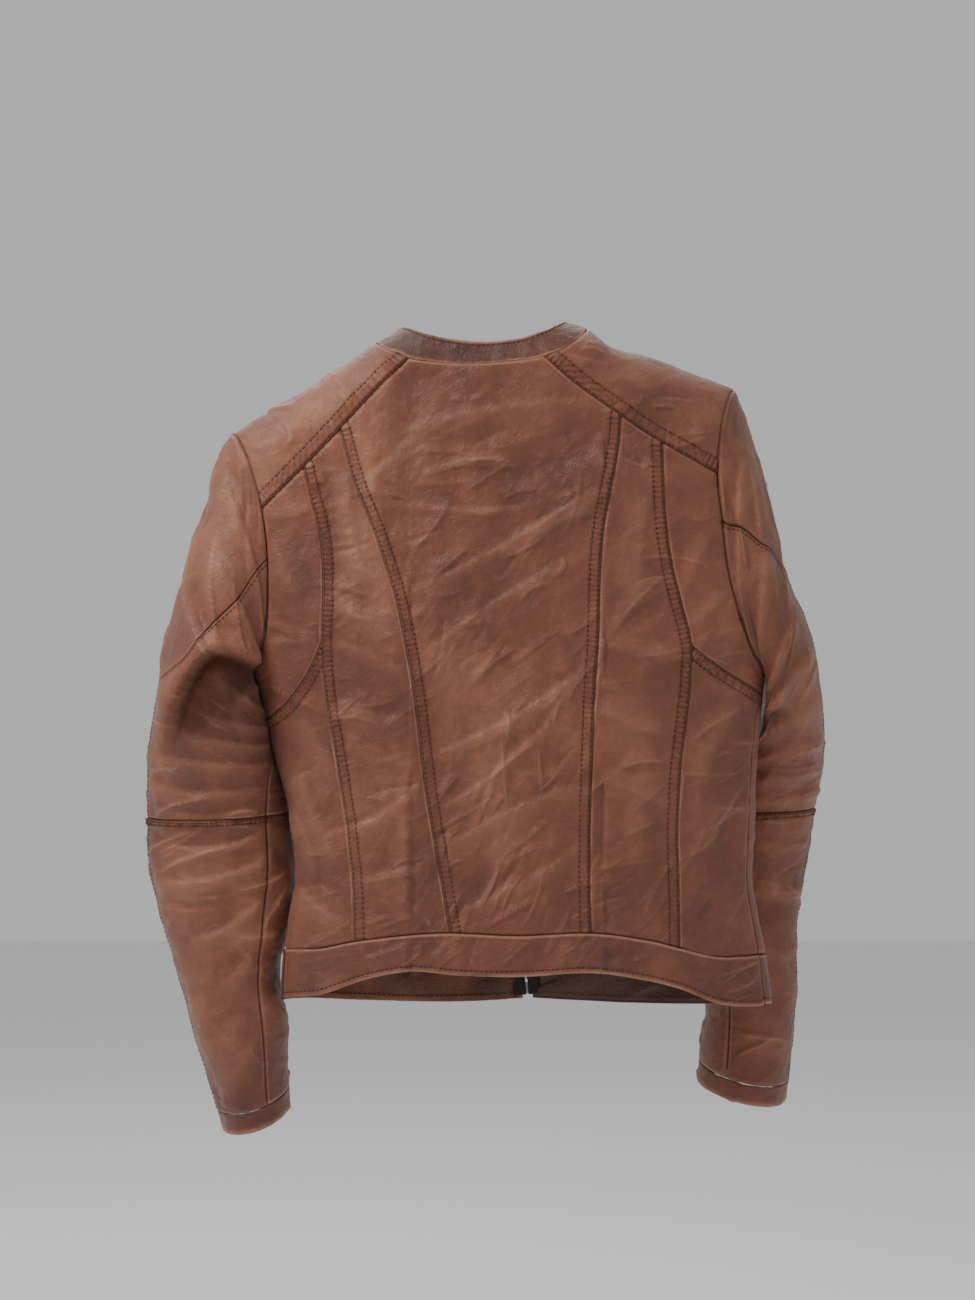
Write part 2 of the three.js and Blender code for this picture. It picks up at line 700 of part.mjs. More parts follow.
function collarGrid() {
  const seamLine = collarSeam();
  const steps = seamLine.length - 1;
  const deep = (y) => (y * (y < 0 ? FRONT_DEPTH / 62 : BACK_DEPTH / 60));
  const topLine = curve(COLLAR_TOP.map(([x, y, z]) => [x * WIDE, deep(y), z * LONG]));
  const lengths = [0];
  for (let i = 1; i <= steps; i += 1) {
    lengths.push(lengths[i - 1] + seamLine[i].distanceTo(seamLine[i - 1]));
  }
  const mid = new THREE.Vector3(0, -5, 0);
  const rows = [[], [], []];
  seamLine.forEach((low, i) => {
    const high = new THREE.Vector3(...topLine(lengths[i] / lengths[steps]));
    const lift = high.clone().sub(low).normalize().multiplyScalar(COLLAR_GAP);
    const inward = mid.clone().sub(low).setZ(0).normalize();
    const from = low.clone().add(lift);
    rows[0].push(from);
    rows[1].push(from.clone().lerp(high, 0.5).addScaledVector(inward, -1.2));
    rows[2].push(high);
  });
  return rows;
}

function collarShell(outer) {
  const grid = collarGrid();
  const centre = new THREE.Vector3(0, -5, -10);
  return shell(grid, gridNormals(grid, false), centre, outer, outer + LEATHER);
}

function collarBand() {
  add('collar_band', collarShell(0), COGNAC);
}

function collarFacing() {
  add('collar_facing', collarShell(LEATHER + 0.9), COGNAC);
}

// ---------------------------------------------------------------- body lining

// The lining hangs clear of the leather and comes up to it along the waistband seam.
const edgeHug = (t, s) => {
  const near = (1 - clamp((1 - t) * 8, 0, 1)) * clamp(6 * s * (1 - s), 0, 1);
  return LINING_DROP + (LINING_EDGE_DROP - LINING_DROP) * near;
};

function liningPanel(name, top, bottom, left, right) {
  const spots = pulledIn(fill(top, bottom, left, right), bodyPoint, LINING_INSET);
  const inner = (t, s) => edgeHug(t, s) + LINING;
  add(name, bodyShell(spots, edgeHug, inner), DARK_LINING, 0.5);
}

function liningEdge(side, back) {
  const tip = 0.5;
  const end = back ? 0 : 1;
  const face = back ? 'back' : side;
  const armpit = shoulderSpot(armholes[side](end))[1];
  const low = bandTopBack(side === 'left' ? 0 : 1)[1];
  const gap = back ? -0.02 : 0.02;
  return chain(
    armholeTurned(side, tip + gap, end, 7, face),
    sideRun(side, armpit, low, 6),
  );
}

function backLining() {
  const left = liningEdge('left', true);
  const right = liningEdge('right', true);
  const ridgeRun = (side, neckX, count) => sample((t) => {
    const tipX = shoulderSpot(armholes[side](0.48))[0];
    const x = tipX + (neckX * WIDE - tipX) * t;
    return [angleOf(x, ridge(x) - LINING_TOP, 'back'), ridge(x) - LINING_TOP];
  }, count);
  const leftRun = ridgeRun('left', 91, 4);
  const rightRun = ridgeRun('right', -89, 4).reverse();
  const neckRun = sample(turned(neckBack, 'back'), 8).map(([a, z]) => [a, z - LINING_TOP]);
  const top = chain(leftRun, neckRun, rightRun);
  const bottom = sample(turned(bandTopBack, 'back'), top.length - 1);
  top[0] = left[0];
  top[top.length - 1] = right[0];
  bottom[0] = left[left.length - 1];
  bottom[bottom.length - 1] = right[right.length - 1];
  liningPanel('lining_back', top, bottom, left, right);
}

function frontLining(side) {
  const outer = liningEdge(side, false);
  const steps = outer.length - 1;
  const neckX = side === 'left' ? 91 : -89;
  const tipX = shoulderSpot(armholes[side](0.52))[0];
  const ridgeRun = sample((t) => {
    const x = neckX * WIDE + (tipX - neckX * WIDE) * t;
    return [angleOf(x, ridge(x) - LINING_TOP, side), ridge(x) - LINING_TOP];
  }, 3);
  const neckRun = sample(turned(neckFront[side], side), 5, 0.86, 0)
    .map(([a, z]) => [a, z - LINING_TOP]);
  const top = chain(neckRun, ridgeRun);
  const edge = zipEdge(side, TAPE_END + 2);
  const high = neckRun[0][1];
  const low = bandTopFront[side](1)[1];
  const inner = sample((t) => edge(high + (low - high) * t), steps);
  const bottom = sample(turned(bandTopFront[side], side), top.length - 1, 1, 0);
  top[0] = inner[0];
  top[top.length - 1] = outer[0];
  bottom[0] = inner[steps];
  bottom[bottom.length - 1] = outer[steps];
  liningPanel(`lining_front_${side}`, top, bottom, inner, outer);
}

// ---------------------------------------------------------------- sleeves

// Each row: outer point x, z; inner point x, z; front-to-back share; y shift; back-rim drop.
const SLEEVES = {
  left: [
    [210, -61, 197, -262, 0.66, 0, 0], [223, -85, 203, -267, 0.72, 0, 0],
    [239, -134, 206, -276, 0.85, -2, 0], [255, -190, 204, -289, 0.96, -5, 0],
    [267, -237, 199, -305, 1.0, -8, 0], [277, -288, 190, -328, 0.98, -12, 0],
    [283, -335, 180, -352, 0.88, -16, 2], [284, -383, 172, -378, 0.76, -19, 3],
    [283, -422, 168, -420, 0.72, -21, 3], [272, -468, 168, -462, 0.7, -23, 3],
    [256, -526, 169, -512, 0.7, -25, 4], [238, -590, 165, -572, 0.69, -27, 6],
    [222, -645, 163, -629, 0.66, -28, 9],
  ],
  right: [
    [-210, -24, -239, -267, 0.66, 0, 0], [-224, -48, -243, -271, 0.72, -2, 0],
    [-243, -118, -243, -281, 0.85, -9, 0], [-260, -183, -245, -293, 0.92, -20, 0],
    [-277, -222, -242, -311, 0.94, -34, 0], [-290, -284, -232, -334, 0.86, -56, 0],
    [-293, -330, -215, -356, 0.8, -72, 1], [-288, -378, -198, -380, 0.72, -86, 2],
    [-284, -418, -189, -421, 0.68, -92, 2], [-276, -462, -189, -462, 0.67, -97, 3],
    [-273, -516, -194, -510, 0.67, -99, 4], [-272, -575, -193, -562, 0.67, -100, 6],
    [-265, -632, -188, -616, 0.66, -101, 9],
  ],
};
const ELBOW_ROW = 7;
const SLEEVE_ROWS = 12;
const ARMHOLE_FADE = 3;

function sleeveKeys(side) {
  const rows = SLEEVES[side].map(([ox, oz, ix, iz, b, y, drop]) => [ox * WIDE, oz * LONG,
    ix * WIDE, iz * LONG, b * SLEEVE_DEPTH, y, drop]);
  const knots = rows.map((_, k) => k);
  const lanes = rows[0].map((_, k) => rows.map((row) => row[k]));
  return (row) => lanes.map((lane) => hermite(knots, lane, row));
}

function armholeRing(side) {
  const fine = sample(armholes[side], 400).map(shoulderPoint);
  const lengths = [0];
  for (let i = 1; i < fine.length; i += 1) {
    lengths.push(lengths[i - 1] + fine[i].distanceTo(fine[i - 1]));
  }
  const tip = lengths[200];
  const total = lengths[400];
  const out = frontSign(side) * SLEEVE_GAP;
  return (turn) => {
    const share = turn / HALF_TURN;
    const reach = share >= 0 ? tip * (1 - share) : tip + (total - tip) * -share;
    let k = 0;
    while (k < 399 && lengths[k + 1] < reach) {
      k += 1;
    }
    const f = clamp((reach - lengths[k]) / (lengths[k + 1] - lengths[k]), 0, 1);
    const spot = fine[k].clone().lerp(fine[k + 1], f);
    const up = Math.cos(turn);
    spot.x += out * (1 + Math.max(0.9 * up, -0.8 * up));
    return spot;
  };
}

const sleeveShapes = {
  left: { keys: sleeveKeys('left'), ring: armholeRing('left') },
  right: { keys: sleeveKeys('right'), ring: armholeRing('right') },
};

// turn is 0 on the outer line, positive on the back, and a half turn on the inner line.
function sleevePoint(side, row, turn) {
  const { keys, ring } = sleeveShapes[side];
  const [ox, oz, ix, iz, b, y, drop] = keys(row);
  const c = Math.cos(turn);
  const s = Math.sin(turn);
  const spot = new THREE.Vector3((ox + ix) / 2 + ((ox - ix) / 2) * c, y + b * s,
    (oz + iz) / 2 + ((oz - iz) / 2) * c - drop * s);
  const f = clamp(row / ARMHOLE_FADE, 0, 1);
  if (f >= 1) {
    return spot;
  }
  const mix = f * f * (3 - 2 * f);
  const folded = Math.atan2(s, c);
  return ring(folded).lerp(spot, mix);
}

const sleeveSurface = (side) => ([row, turn]) => sleevePoint(side, row, turn);

const sleeveCentre = (side, row) => {
  const [ox, oz, ix, iz, , y] = sleeveShapes[side].keys(row);
  return new THREE.Vector3((ox + ix) / 2, y, (oz + iz) / 2);
};

// Where the back seam and the inner seam run round the sleeve, in degrees, row by row.
const backSeamTurn = {
  left: table([[0, 96], [1, 98], [2, 94], [3, 72], [4, 52], [4.5, 26], [5, 14], [7, 12],
    [12, 12]]),
  right: table([[0, 84], [1, 85], [2, 68], [2.6, 40], [3, 20], [4, 13], [7, 12], [12, 12]]),
};
const innerSeamTurn = table([[0, 172], [3, 170], [5, 162], [6, 144], [7, 133], [8, 131],
  [10, 125], [12, 118]]);

const radians = (degrees) => (degrees * HALF_TURN) / 180;

function sleeveSpots(from, to, down, wide, start, end) {
  const rows = [];
  for (let j = 0; j <= down; j += 1) {
    const row = from + ((to - from) * j) / down;
    const a = radians(start(row));
    const b = radians(end(row));
    rows.push(sample((t) => [row, a + (b - a) * t], wide));
  }
  return rows;
}

function sleeveShell(side, spots, outer, inner, looped) {
  const point = sleeveSurface(side);
  const grid = spots.map((row) => row.map(point));
  const centre = sleeveCentre(side, spots[Math.floor((spots.length - 1) / 2)][0][0]);
  return shell(grid, surfaceNormals(spots, point, SLEEVE_STEP), centre, outer, inner, looped);
}

const SIDE_NUDGE = 0.75;

function sleevePanels(side) {
  const cut = 0.03;
  const upper = [cut, ELBOW_ROW - 0.02];
  const lower = [ELBOW_ROW + 0.02, SLEEVE_ROWS - 0.3];
  const nudge = (row) => SIDE_NUDGE * (1 + 0.4 * clamp(1 - row, 0, 1));
  const back = (row) => backSeamTurn[side](row) + SIDE_NUDGE;
  const inner = (row) => innerSeamTurn(row) - nudge(row);
  const front = (row) => backSeamTurn[side](row) - SIDE_NUDGE;
  const under = (row) => innerSeamTurn(row) - 360 + nudge(row);
  const parts = [
    [`sleeve_back_upper_${side}`, upper, 8, 9, back, inner],
    [`sleeve_front_upper_${side}`, upper, 8, 12, front, under],
    [`sleeve_back_lower_${side}`, lower, 5, 7, back, inner],
    [`sleeve_front_lower_${side}`, lower, 5, 13, front, under],
  ];
  parts.forEach(([name, [from, to], down, wide, start, end]) => {
    const spots = sleeveSpots(from, to, down, wide, start, end);
    add(name, sleeveShell(side, spots, 0, LEATHER, false), COGNAC);
  });
}

function tube(side, rows, count, insets, thickness) {
  const spots = rows.map((row) => sample((t) => [row, 2 * HALF_TURN * t], count)
    .slice(0, count));
  const inset = (t) => insets[Math.round(t * (rows.length - 1))];
  const inner = (t) => inset(t) + thickness;
  return sleeveShell(side, spots, inset, inner, true);
}

function cuffHem(side) {
  const rows = [SLEEVE_ROWS - 0.29, SLEEVE_ROWS - 0.15, SLEEVE_ROWS];
  add(`cuff_hem_${side}`, tube(side, rows, 20, [0, 0, 0], LEATHER * 2), COGNAC);
}

function sleeveLinings(side) {
  const deep = 7.2;
  const upperRows = [0.7, 1.3, 2.5, 3.7, 4.9, 6, ELBOW_ROW - 0.15];
  const lowerRows = [ELBOW_ROW + 0.15, 8, 9.2, 10.4, SLEEVE_ROWS - 0.5];
  const upperInsets = [deep, deep, deep, deep, deep, 4.5, 2.8];
  const lowerInsets = [2.6, 4, deep, 4, 2.6];
  add(`sleeve_lining_upper_${side}`, tube(side, upperRows, 16, upperInsets, LINING),
    DARK_LINING, 0.5);
  add(`sleeve_lining_lower_${side}`, tube(side, lowerRows, 16, lowerInsets, LINING),
    DARK_LINING, 0.5);
}

// ---------------------------------------------------------------- front zip

const zipTurn = Math.atan2(ZIP_TOP[0] - ZIP_END[0], ZIP_TOP[1] - ZIP_END[1]);
const zipLength = Math.hypot(ZIP_TOP[0] - ZIP_END[0], ZIP_TOP[1] - ZIP_END[1]);
const zipFrame = new THREE.Matrix4().makeRotationY(zipTurn)
  .setPosition(ZIP_TOP[0], 0, ZIP_TOP[1]);

// Sizes run across the zip, front to back, and along the zip; z is measured down from its top.
function zipBlock([x0, x1], [y0, y1], [z0, z1]) {
  const block = new THREE.BoxGeometry(x1 - x0, y1 - y0, z1 - z0);
  block.translate((x0 + x1) / 2, (y0 + y1) / 2, -(z0 + z1) / 2);
  return block.applyMatrix4(zipFrame);
}

function outline(points, holes = []) {
  const shape = new THREE.Shape(points.map(([a, b]) => new THREE.Vector2(a, b)));
  holes.forEach((hole) => shape.holes.push(
    new THREE.Path(hole.map(([a, b]) => new THREE.Vector2(a, b))),
  ));
  return shape;
}

const SURFACE = -FRONT_DEPTH;

function zipChain(side) {
  const sign = frontSign(side);
  const reach = (a, b) => (sign > 0 ? [a, b] : [-b, -a]);
  const tapeY = [SURFACE + LEATHER + 0.6, SURFACE + LEATHER + 1.2];
  const tape = zipBlock(reach(TAPE_START, TAPE_END), tapeY, [3, zipLength - 3]);
  add(`zip_tape_${side}`, tape, ZIP_TAPE, 0.9);
  const teethY = [SURFACE - 0.3, SURFACE + LEATHER + 0.3];
  const teeth = zipBlock(reach(TOOTH_CLEAR, TOOTH_REACH), teethY, [6, zipLength - 14]);
  add(`zip_teeth_${side}`, teeth, ZIP_METAL, 0.4, 0.9);
}

function zipRetainer() {
  const box = zipBlock([-4, 4], [SURFACE - 0.8, SURFACE + LEATHER + 0.3],
    [zipLength - 13.6, zipLength - 4]);
  add('zip_retainer_box', box, ZIP_METAL, 0.4, 0.9);
}

// The slider: a front plate and a back plate joined by the thin wedge between the teeth.
function zipSlider() {
  const frontY = SURFACE - 0.7;
  const backY = SURFACE + LEATHER + 1.9;
  const half = 4.2;
  const wedge = 0.3;
  const points = [[-half, frontY - 1.2], [half, frontY - 1.2], [half, frontY], [wedge, frontY],
    [wedge, backY], [half, backY], [half, backY + 1], [-half, backY + 1], [-half, backY],
    [-wedge, backY], [-wedge, frontY], [-half, frontY]];
  const body = new THREE.ExtrudeGeometry(outline(points), { depth: 12, bevelEnabled: false });
  body.translate(0, 0, -20);
  body.applyMatrix4(zipFrame);
  add('zip_slider', body, ZIP_METAL, 0.35, 0.9);
}

const PULL_Y = SURFACE - 0.7 - 1.2 - 1.8;
const PULL_Z = -13.7;

// The arch the pull hangs from, a flat loop standing off the slider's front plate.
function zipArch() {
  const plate = SURFACE - 0.7 - 1.2 - 0.3;
  const low = PULL_Z - 1.9;
  const high = low + 6.4;
  const far = PULL_Y - 2.3;
  const points = [[plate, low], [plate, low + 1], [PULL_Y - 1.1, low + 1],
    [PULL_Y - 1.1, high - 1], [plate, high - 1], [plate, high], [far, high], [far, low]];
  const arch = new THREE.ExtrudeGeometry(outline(points), { depth: 1.6, bevelEnabled: false });
  const toLocal = new THREE.Matrix4().set(0, 0, 1, -0.8, 1, 0, 0, 0, 0, 1, 0, 0, 0, 0, 0, 1);
  arch.applyMatrix4(toLocal);
  arch.applyMatrix4(zipFrame);
  add('zip_pull_arch', arch, ZIP_METAL, 0.35, 0.9);
}

function zipPull() {
  const top = 0.6;
  const half = 2.7;
  const points = [[-half, top], [half, top], [half, -8], [3.4, -24], [2.4, -27], [-2.4, -27],
    [-3.4, -24], [-half, -8]];
  const hole = [[-1.3, -0.6], [-1.3, -4.6], [1.3, -4.6], [1.3, -0.6]];
  const pull = new THREE.ExtrudeGeometry(outline(points, [hole]),
    { depth: 1.2, bevelEnabled: false });
  const toLocal = new THREE.Matrix4().set(1, 0, 0, 0, 0, 0, -1, PULL_Y + 0.6, 0, 1, 0, PULL_Z,
    0, 0, 0, 1);
  pull.applyMatrix4(toLocal);
  pull.applyMatrix4(zipFrame);
  add('zip_pull', pull, ZIP_METAL, 0.35, 0.9);
}

// ---------------------------------------------------------------- assembly

backCentrePanel();
['left', 'right'].forEach((side) => {
  backMidPanel(side);
  backArmholePanel(side);
  backSidePanel(side);
  shoulderYoke(side);
  frontPanel(side);
  frontSidePanel(side);
  waistbandFront(side);
  frontLining(side);
  sleevePanels(side);
  cuffHem(side);
  sleeveLinings(side);
  zipChain(side);
});
waistbandBack();
collarBand();
collarFacing();
backLining();
zipRetainer();
zipSlider();
zipArch();
zipPull();

export default group;
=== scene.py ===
import math

import bpy
import numpy as np
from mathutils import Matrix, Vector


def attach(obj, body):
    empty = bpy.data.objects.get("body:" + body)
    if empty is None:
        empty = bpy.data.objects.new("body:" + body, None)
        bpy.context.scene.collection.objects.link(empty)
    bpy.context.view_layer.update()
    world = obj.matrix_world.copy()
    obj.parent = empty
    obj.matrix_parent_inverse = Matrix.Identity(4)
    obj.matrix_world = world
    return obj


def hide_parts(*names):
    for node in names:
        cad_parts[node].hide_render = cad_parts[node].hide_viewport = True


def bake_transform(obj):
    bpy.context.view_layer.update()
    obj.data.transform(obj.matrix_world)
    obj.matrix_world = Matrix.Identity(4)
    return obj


# Leather riding jacket seen from the back, hanging with its zip closed. The surface is worked
# out in millimetres, as in the CAD source, and every mesh is written in metres.

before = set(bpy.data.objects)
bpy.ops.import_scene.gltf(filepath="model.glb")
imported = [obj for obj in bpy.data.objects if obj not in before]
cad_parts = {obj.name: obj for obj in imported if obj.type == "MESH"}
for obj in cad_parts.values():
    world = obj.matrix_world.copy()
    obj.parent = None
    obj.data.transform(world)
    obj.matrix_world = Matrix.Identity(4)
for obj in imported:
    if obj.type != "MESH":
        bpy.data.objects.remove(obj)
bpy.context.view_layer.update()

MM = 0.001
BACK_DEPTH = 60.0
FRONT_DEPTH = 62.0
SHOULDER_ROUND = 45.0
SLEEVE_DEPTH = 59.0
LEATHER = 1.2
ROUNDNESS = 2.6
SEAM_GAP = 0.12
SLEEVE_GAP = 0.4
SIDE_SEAMS = {"left": 86.0, "right": 76.0}
SIGN = {"left": 1.0, "right": -1.0}
FRONT_EDGE = 4.5
STITCH_PITCH = 4.2
STITCH_LENGTH = 2.7

# ------------------------------------------------------------------ curves


def hermite(knots, values, at):
    knots = np.asarray(knots, float)
    values = np.asarray(values, float)
    last = len(knots) - 1
    t = np.clip(at, knots[0], knots[-1])
    k = np.clip(np.searchsorted(knots, t, side="right") - 1, 0, last - 1)

    def slope(a, b):
        return (values[b] - values[a]) / (knots[b] - knots[a])

    left = slope(np.maximum(k - 1, 0), k + 1)
    right = slope(k, np.minimum(k + 2, last))
    span = knots[k + 1] - knots[k]
    f = (t - knots[k]) / span
    g = 1 - f
    ends = values[k] * (1 + 2 * f) * g * g + values[k + 1] * (3 - 2 * f) * f * f
    return ends + span * f * g * (left * g - right * f)


def curve(points):
    """A smooth curve through given points; t is an array from 0 to 1."""
    points = np.asarray(points, float)
    steps = np.linalg.norm(np.diff(points, axis=0), axis=1)
    knots = np.concatenate([[0], np.cumsum(steps)])

    def at(t):
        t = np.atleast_1d(t) * knots[-1]
        return np.stack([hermite(knots, lane, t) for lane in points.T], axis=-1)

    return at


def table(rows):
    rows = np.asarray(rows, float)
    return lambda at: hermite(rows[:, 0], rows[:, 1], at)


def smooth_step(value):
    f = np.clip(value, 0, 1)
    return f * f * (3 - 2 * f)


def bump(distance, width):
    return np.exp(-((distance / width) ** 2))


# ------------------------------------------------------------------ body surface

left_edge = table([(-560, 170), (-494, 166), (-455, 161), (-418, 158), (-363, 166),
                   (-321, 177), (-290, 186), (-261, 196), (-200, 214), (-130, 230),
                   (-60, 240), (60, 250)])
right_edge = table([(-560, -245), (-501, -238), (-470, -232), (-427, -227), (-368, -230),
                    (-303, -235), (-266, -238), (-240, -245), (-200, -253), (-130, -261),
                    (-30, -267), (60, -270)])
ridge = table([(-270, -50), (-210, -24), (-166, -8), (-132, 4), (-107, 14), (-88, 28),
               (-50, 44), (0, 52), (50, 40), (90, 16), (120, -3), (154, -24), (187, -45),
               (210, -61), (260, -95)])
back_share = table([(-560, 0.93), (-420, 0.92), (-300, 1.0), (-180, 1.03), (-60, 0.94),
                    (0, 0.87), (60, 0.85)])


def middle(z):
    return (left_edge(z) + right_edge(z)) / 2


def half_width(z):
    return (left_edge(z) - right_edge(z)) / 2


def across(x, z):
    return np.clip((x - middle(z)) / half_width(z), -1, 1)


def angle_of(x, z, face):
    lean = np.arcsin(across(x, z))
    if face == "left":
        return np.pi - lean
    return -np.pi - lean if face == "right" else lean


def body_point(spots):
    angle, z = spots[..., 0], spots[..., 1]
    u = np.sin(angle)
    x = middle(z) + half_width(z) * u
    under = np.clip((ridge(x) - z) / SHOULDER_ROUND, 0, 1)
    round_off = np.sqrt(1 - (1 - under) ** 2)
    flat = np.sqrt(np.maximum(0, 1 - np.abs(u) ** ROUNDNESS)) * np.sign(np.cos(angle))
    depth = np.where(flat > 0, back_share(z) * BACK_DEPTH, FRONT_DEPTH)
    return np.stack([x, flat * depth * round_off, z], axis=-1)


QUARTER = SHOULDER_ROUND * np.pi / 2


def over_shoulder(x, z, face):
    down = np.maximum(0, ridge(x) - z)
    near = SHOULDER_ROUND * np.arccos(np.clip(1 - down / SHOULDER_ROUND, -1, 1))
    length = np.where(down < SHOULDER_ROUND, near, QUARTER + down - SHOULDER_ROUND)
    return length if face == "back" else -length


def shoulder_spot(spots):
    x, over = spots[..., 0], np.abs(spots[..., 1])
    near = SHOULDER_ROUND * (1 - np.cos(over / SHOULDER_ROUND))
    down = np.where(over < QUARTER, near, SHOULDER_ROUND + over - QUARTER)
    return np.stack([x, ridge(x) - down], axis=-1)


def shoulder_point(spots):
    xz = shoulder_spot(spots)
    x, z, over = xz[..., 0], xz[..., 1], spots[..., 1]
    round_off = np.sin(np.minimum(np.abs(over), QUARTER) / SHOULDER_ROUND)
    flat = np.sqrt(np.maximum(0, 1 - np.abs(across(x, z)) ** ROUNDNESS))
    depth = np.where(over > 0, back_share(z) * BACK_DEPTH, FRONT_DEPTH)
    return np.stack([x, np.sign(over) * flat * depth * round_off, z], axis=-1)


# ------------------------------------------------------------------ seam lines

YOKE_BACK = {
    "left": curve([(61, -1), (91, -31), (118, -60), (145, -88), (183, -125)]),
    "right": curve([(-50, 0), (-74, -21), (-109, -46), (-144, -69), (-194, -96)]),
}
YOKE_FRONT = {
    "left": curve([(76, -14), (112, -41), (150, -70), (190, -98)]),
    "right": curve([(-75, -8), (-112, -32), (-150, -50), (-197, -68)]),
}
NECK_BACK = curve([(90, 16), (82, 9), (68, 3), (61, -1), (43, -4), (10, -6), (-23, -4),
                   (-50, 0), (-70, 9), (-82, 19), (-88, 28)])
NECK_FRONT = {
    "left": curve([(90, 16), (85, 2), (76, -14), (60, -34), (40, -50), (22, -60),
                   (3.5, -65)]),
    "right": curve([(-88, 28), (-84, 10), (-75, -8), (-60, -30), (-42, -47), (-24, -59),
                    (-5.5, -65)]),
}
INNER_BACK = {
    "left": curve([(118, -60), (105, -106), (91, -140), (80, -172), (71, -201), (63, -240),
                   (57, -275), (52, -316), (47, -357), (41, -394), (33, -439), (27, -475)]),
    "right": curve([(-114, -49), (-112, -75), (-106, -106), (-100, -140), (-97, -172),
                    (-95, -234), (-92, -275), (-90, -328), (-88, -418), (-89, -475)]),
}
OUTER_BACK = {
    "left": curve([(148, -91), (143, -114), (137, -135), (133, -160), (132, -200),
                   (133, -234), (131, -272), (125, -310), (119, -343), (114, -375),
                   (110, -407), (107, -444), (106, -483)]),
    "right": curve([(-148, -71), (-149, -102), (-151, -135), (-156, -170), (-164, -204),
                    (-172, -238), (-172, -270), (-168, -302), (-163, -345), (-161, -391),
                    (-162, -436), (-163, -488)]),
}
ARM_CURVE = {
    "left": curve([(134, -234), (141, -248), (153, -268), (168, -287), (184, -300)]),
    "right": curve([(-172, -238), (-185, -251), (-203, -265), (-230, -280)]),
}
FRONT_PRINCESS = {
    "left": curve([(112, -41), (104, -130), (92, -200), (83, -270), (77, -340), (73, -420),
                   (71, -500)]),
    "right": curve([(-112, -32), (-110, -120), (-106, -200), (-108, -280), (-113, -350),
                    (-119, -420), (-122, -502)]),
}
BAND_TOP_BACK = curve([(165, -493), (137, -490), (106, -483), (61, -477), (27, -475),
                       (-30, -477), (-89, -475), (-135, -481), (-163, -488), (-195, -496),
                       (-236, -496)])
HEM_BACK = curve([(169, -535), (150, -532), (128, -526), (96, -514), (60, -507), (20, -510),
                  (-30, -511), (-89, -508), (-132, -514), (-163, -522), (-195, -535),
                  (-222, -539), (-242, -537)])
BAND_TOP_FRONT = {
    "left": curve([(165, -493), (120, -499), (71, -500), (20, -501), (-31, -501)]),
    "right": curve([(-236, -496), (-180, -502), (-122, -502), (-80, -502), (-41, -501)]),
}
HEM_FRONT = {
    "left": curve([(169, -535), (120, -540), (71, -543), (20, -544), (-34, -541)]),
    "right": curve([(-242, -537), (-200, -544), (-122, -545), (-80, -543), (-43, -541)]),
}
ZIP_TOP = np.array([-1.0, -67.0])
ZIP_END = np.array([-38.5, -541.0])


def zip_x(z):
    share = (ZIP_TOP[1] - z) / (ZIP_TOP[1] - ZIP_END[1])
    return ZIP_TOP[0] + (ZIP_END[0] - ZIP_TOP[0]) * share


def turned(line, face):
    def at(t):
        xz = line(t)
        return np.stack([angle_of(xz[:, 0], xz[:, 1], face), xz[:, 1]], axis=-1)

    return at


def shouldered(line, face):
    def at(t):
        xz = line(t)
        return np.stack([xz[:, 0], over_shoulder(xz[:, 0], xz[:, 1], face)], axis=-1)

    return at


ARMHOLES = {
    "left": [(196, -261), (186, -246), (180, -227), (178, -201), (178, -168), (183, -125),
             (192, -91), (204, -66), (210, -61)],
    "right": [(-238, -266), (-226, -246), (-215, -221), (-206, -191), (-201, -168),
              (-196, -121), (-194, -96), (-197, -60), (-206, -28), (-210, -24)],
}


def armhole_line(side):
    half = np.array(ARMHOLES[side], float)
    half[0, 0] = (left_edge if side == "left" else right_edge)(half[0, 1])
    half[-1, 1] = ridge(half[-1, 0])
    back = np.stack([half[:, 0], over_shoulder(half[:, 0], half[:, 1], "back")], axis=-1)
    front = back[:-1][::-1] * np.array([1, -1])
    return curve(np.concatenate([back, front]))


ARMHOLE = {side: armhole_line(side) for side in SIGN}


def armhole_turned(side, face):
    def at(t):
        xz = shoulder_spot(ARMHOLE[side](t))
        return np.stack([angle_of(xz[:, 0], xz[:, 1], face), xz[:, 1]], axis=-1)

    return at


ARMPIT = {side: float(shoulder_spot(ARMHOLE[side](0))[0, 1]) for side in SIGN}


def side_seam(side, high, low):
    top = ARMPIT[side]
    level = SIDE_SEAMS[side]
    rows = np.array([(90, top), (90 - (90 - level) * 0.5, top - 14), (level, top - 38),
                     (level, -400), (level, -493), (level, -537)])
    lean = table([(-z, math.radians(degrees) * SIGN[side]) for degrees, z in rows])

    def at(t):
        z = high + (low - high) * np.atleast_1d(t)
        return np.stack([lean(-z), z], axis=-1)

    return at


def part(line, start, end):
    return lambda t: line(start + (end - start) * np.atleast_1d(t))


def nearest(line, column, value):
    t = np.linspace(0, 1, 801)
    return float(t[np.argmin(np.abs(line(t)[:, column] - value))])


def run(point, *lines):
    """Several lines end to end as one, measured by their length on the surface."""
    fine = [line(np.linspace(0, 1, 241)) for line in lines]
    spots = np.concatenate([fine[0]] + [more[1:] for more in fine[1:]])
    steps = np.linalg.norm(np.diff(point(spots), axis=0), axis=1)
    reach = np.concatenate([[0], np.cumsum(steps)])

    def at(t):
        t = np.atleast_1d(t) * reach[-1]
        return np.stack([np.interp(t, reach, lane) for lane in spots.T], axis=-1)

    at.length = reach[-1]
    return at


# ------------------------------------------------------------------ noise and drape

NOISE_SEED = 11


def lattice(ix, iy, iz):
    h = (ix * 374761393 + iy * 668265263 + iz * 2147483647 + NOISE_SEED * 974634777)
    h = (h ^ (h >> 13)) * 1274126177
    h = h ^ (h >> 16)
    return (h & 0xFFFF) / 32767.5 - 1


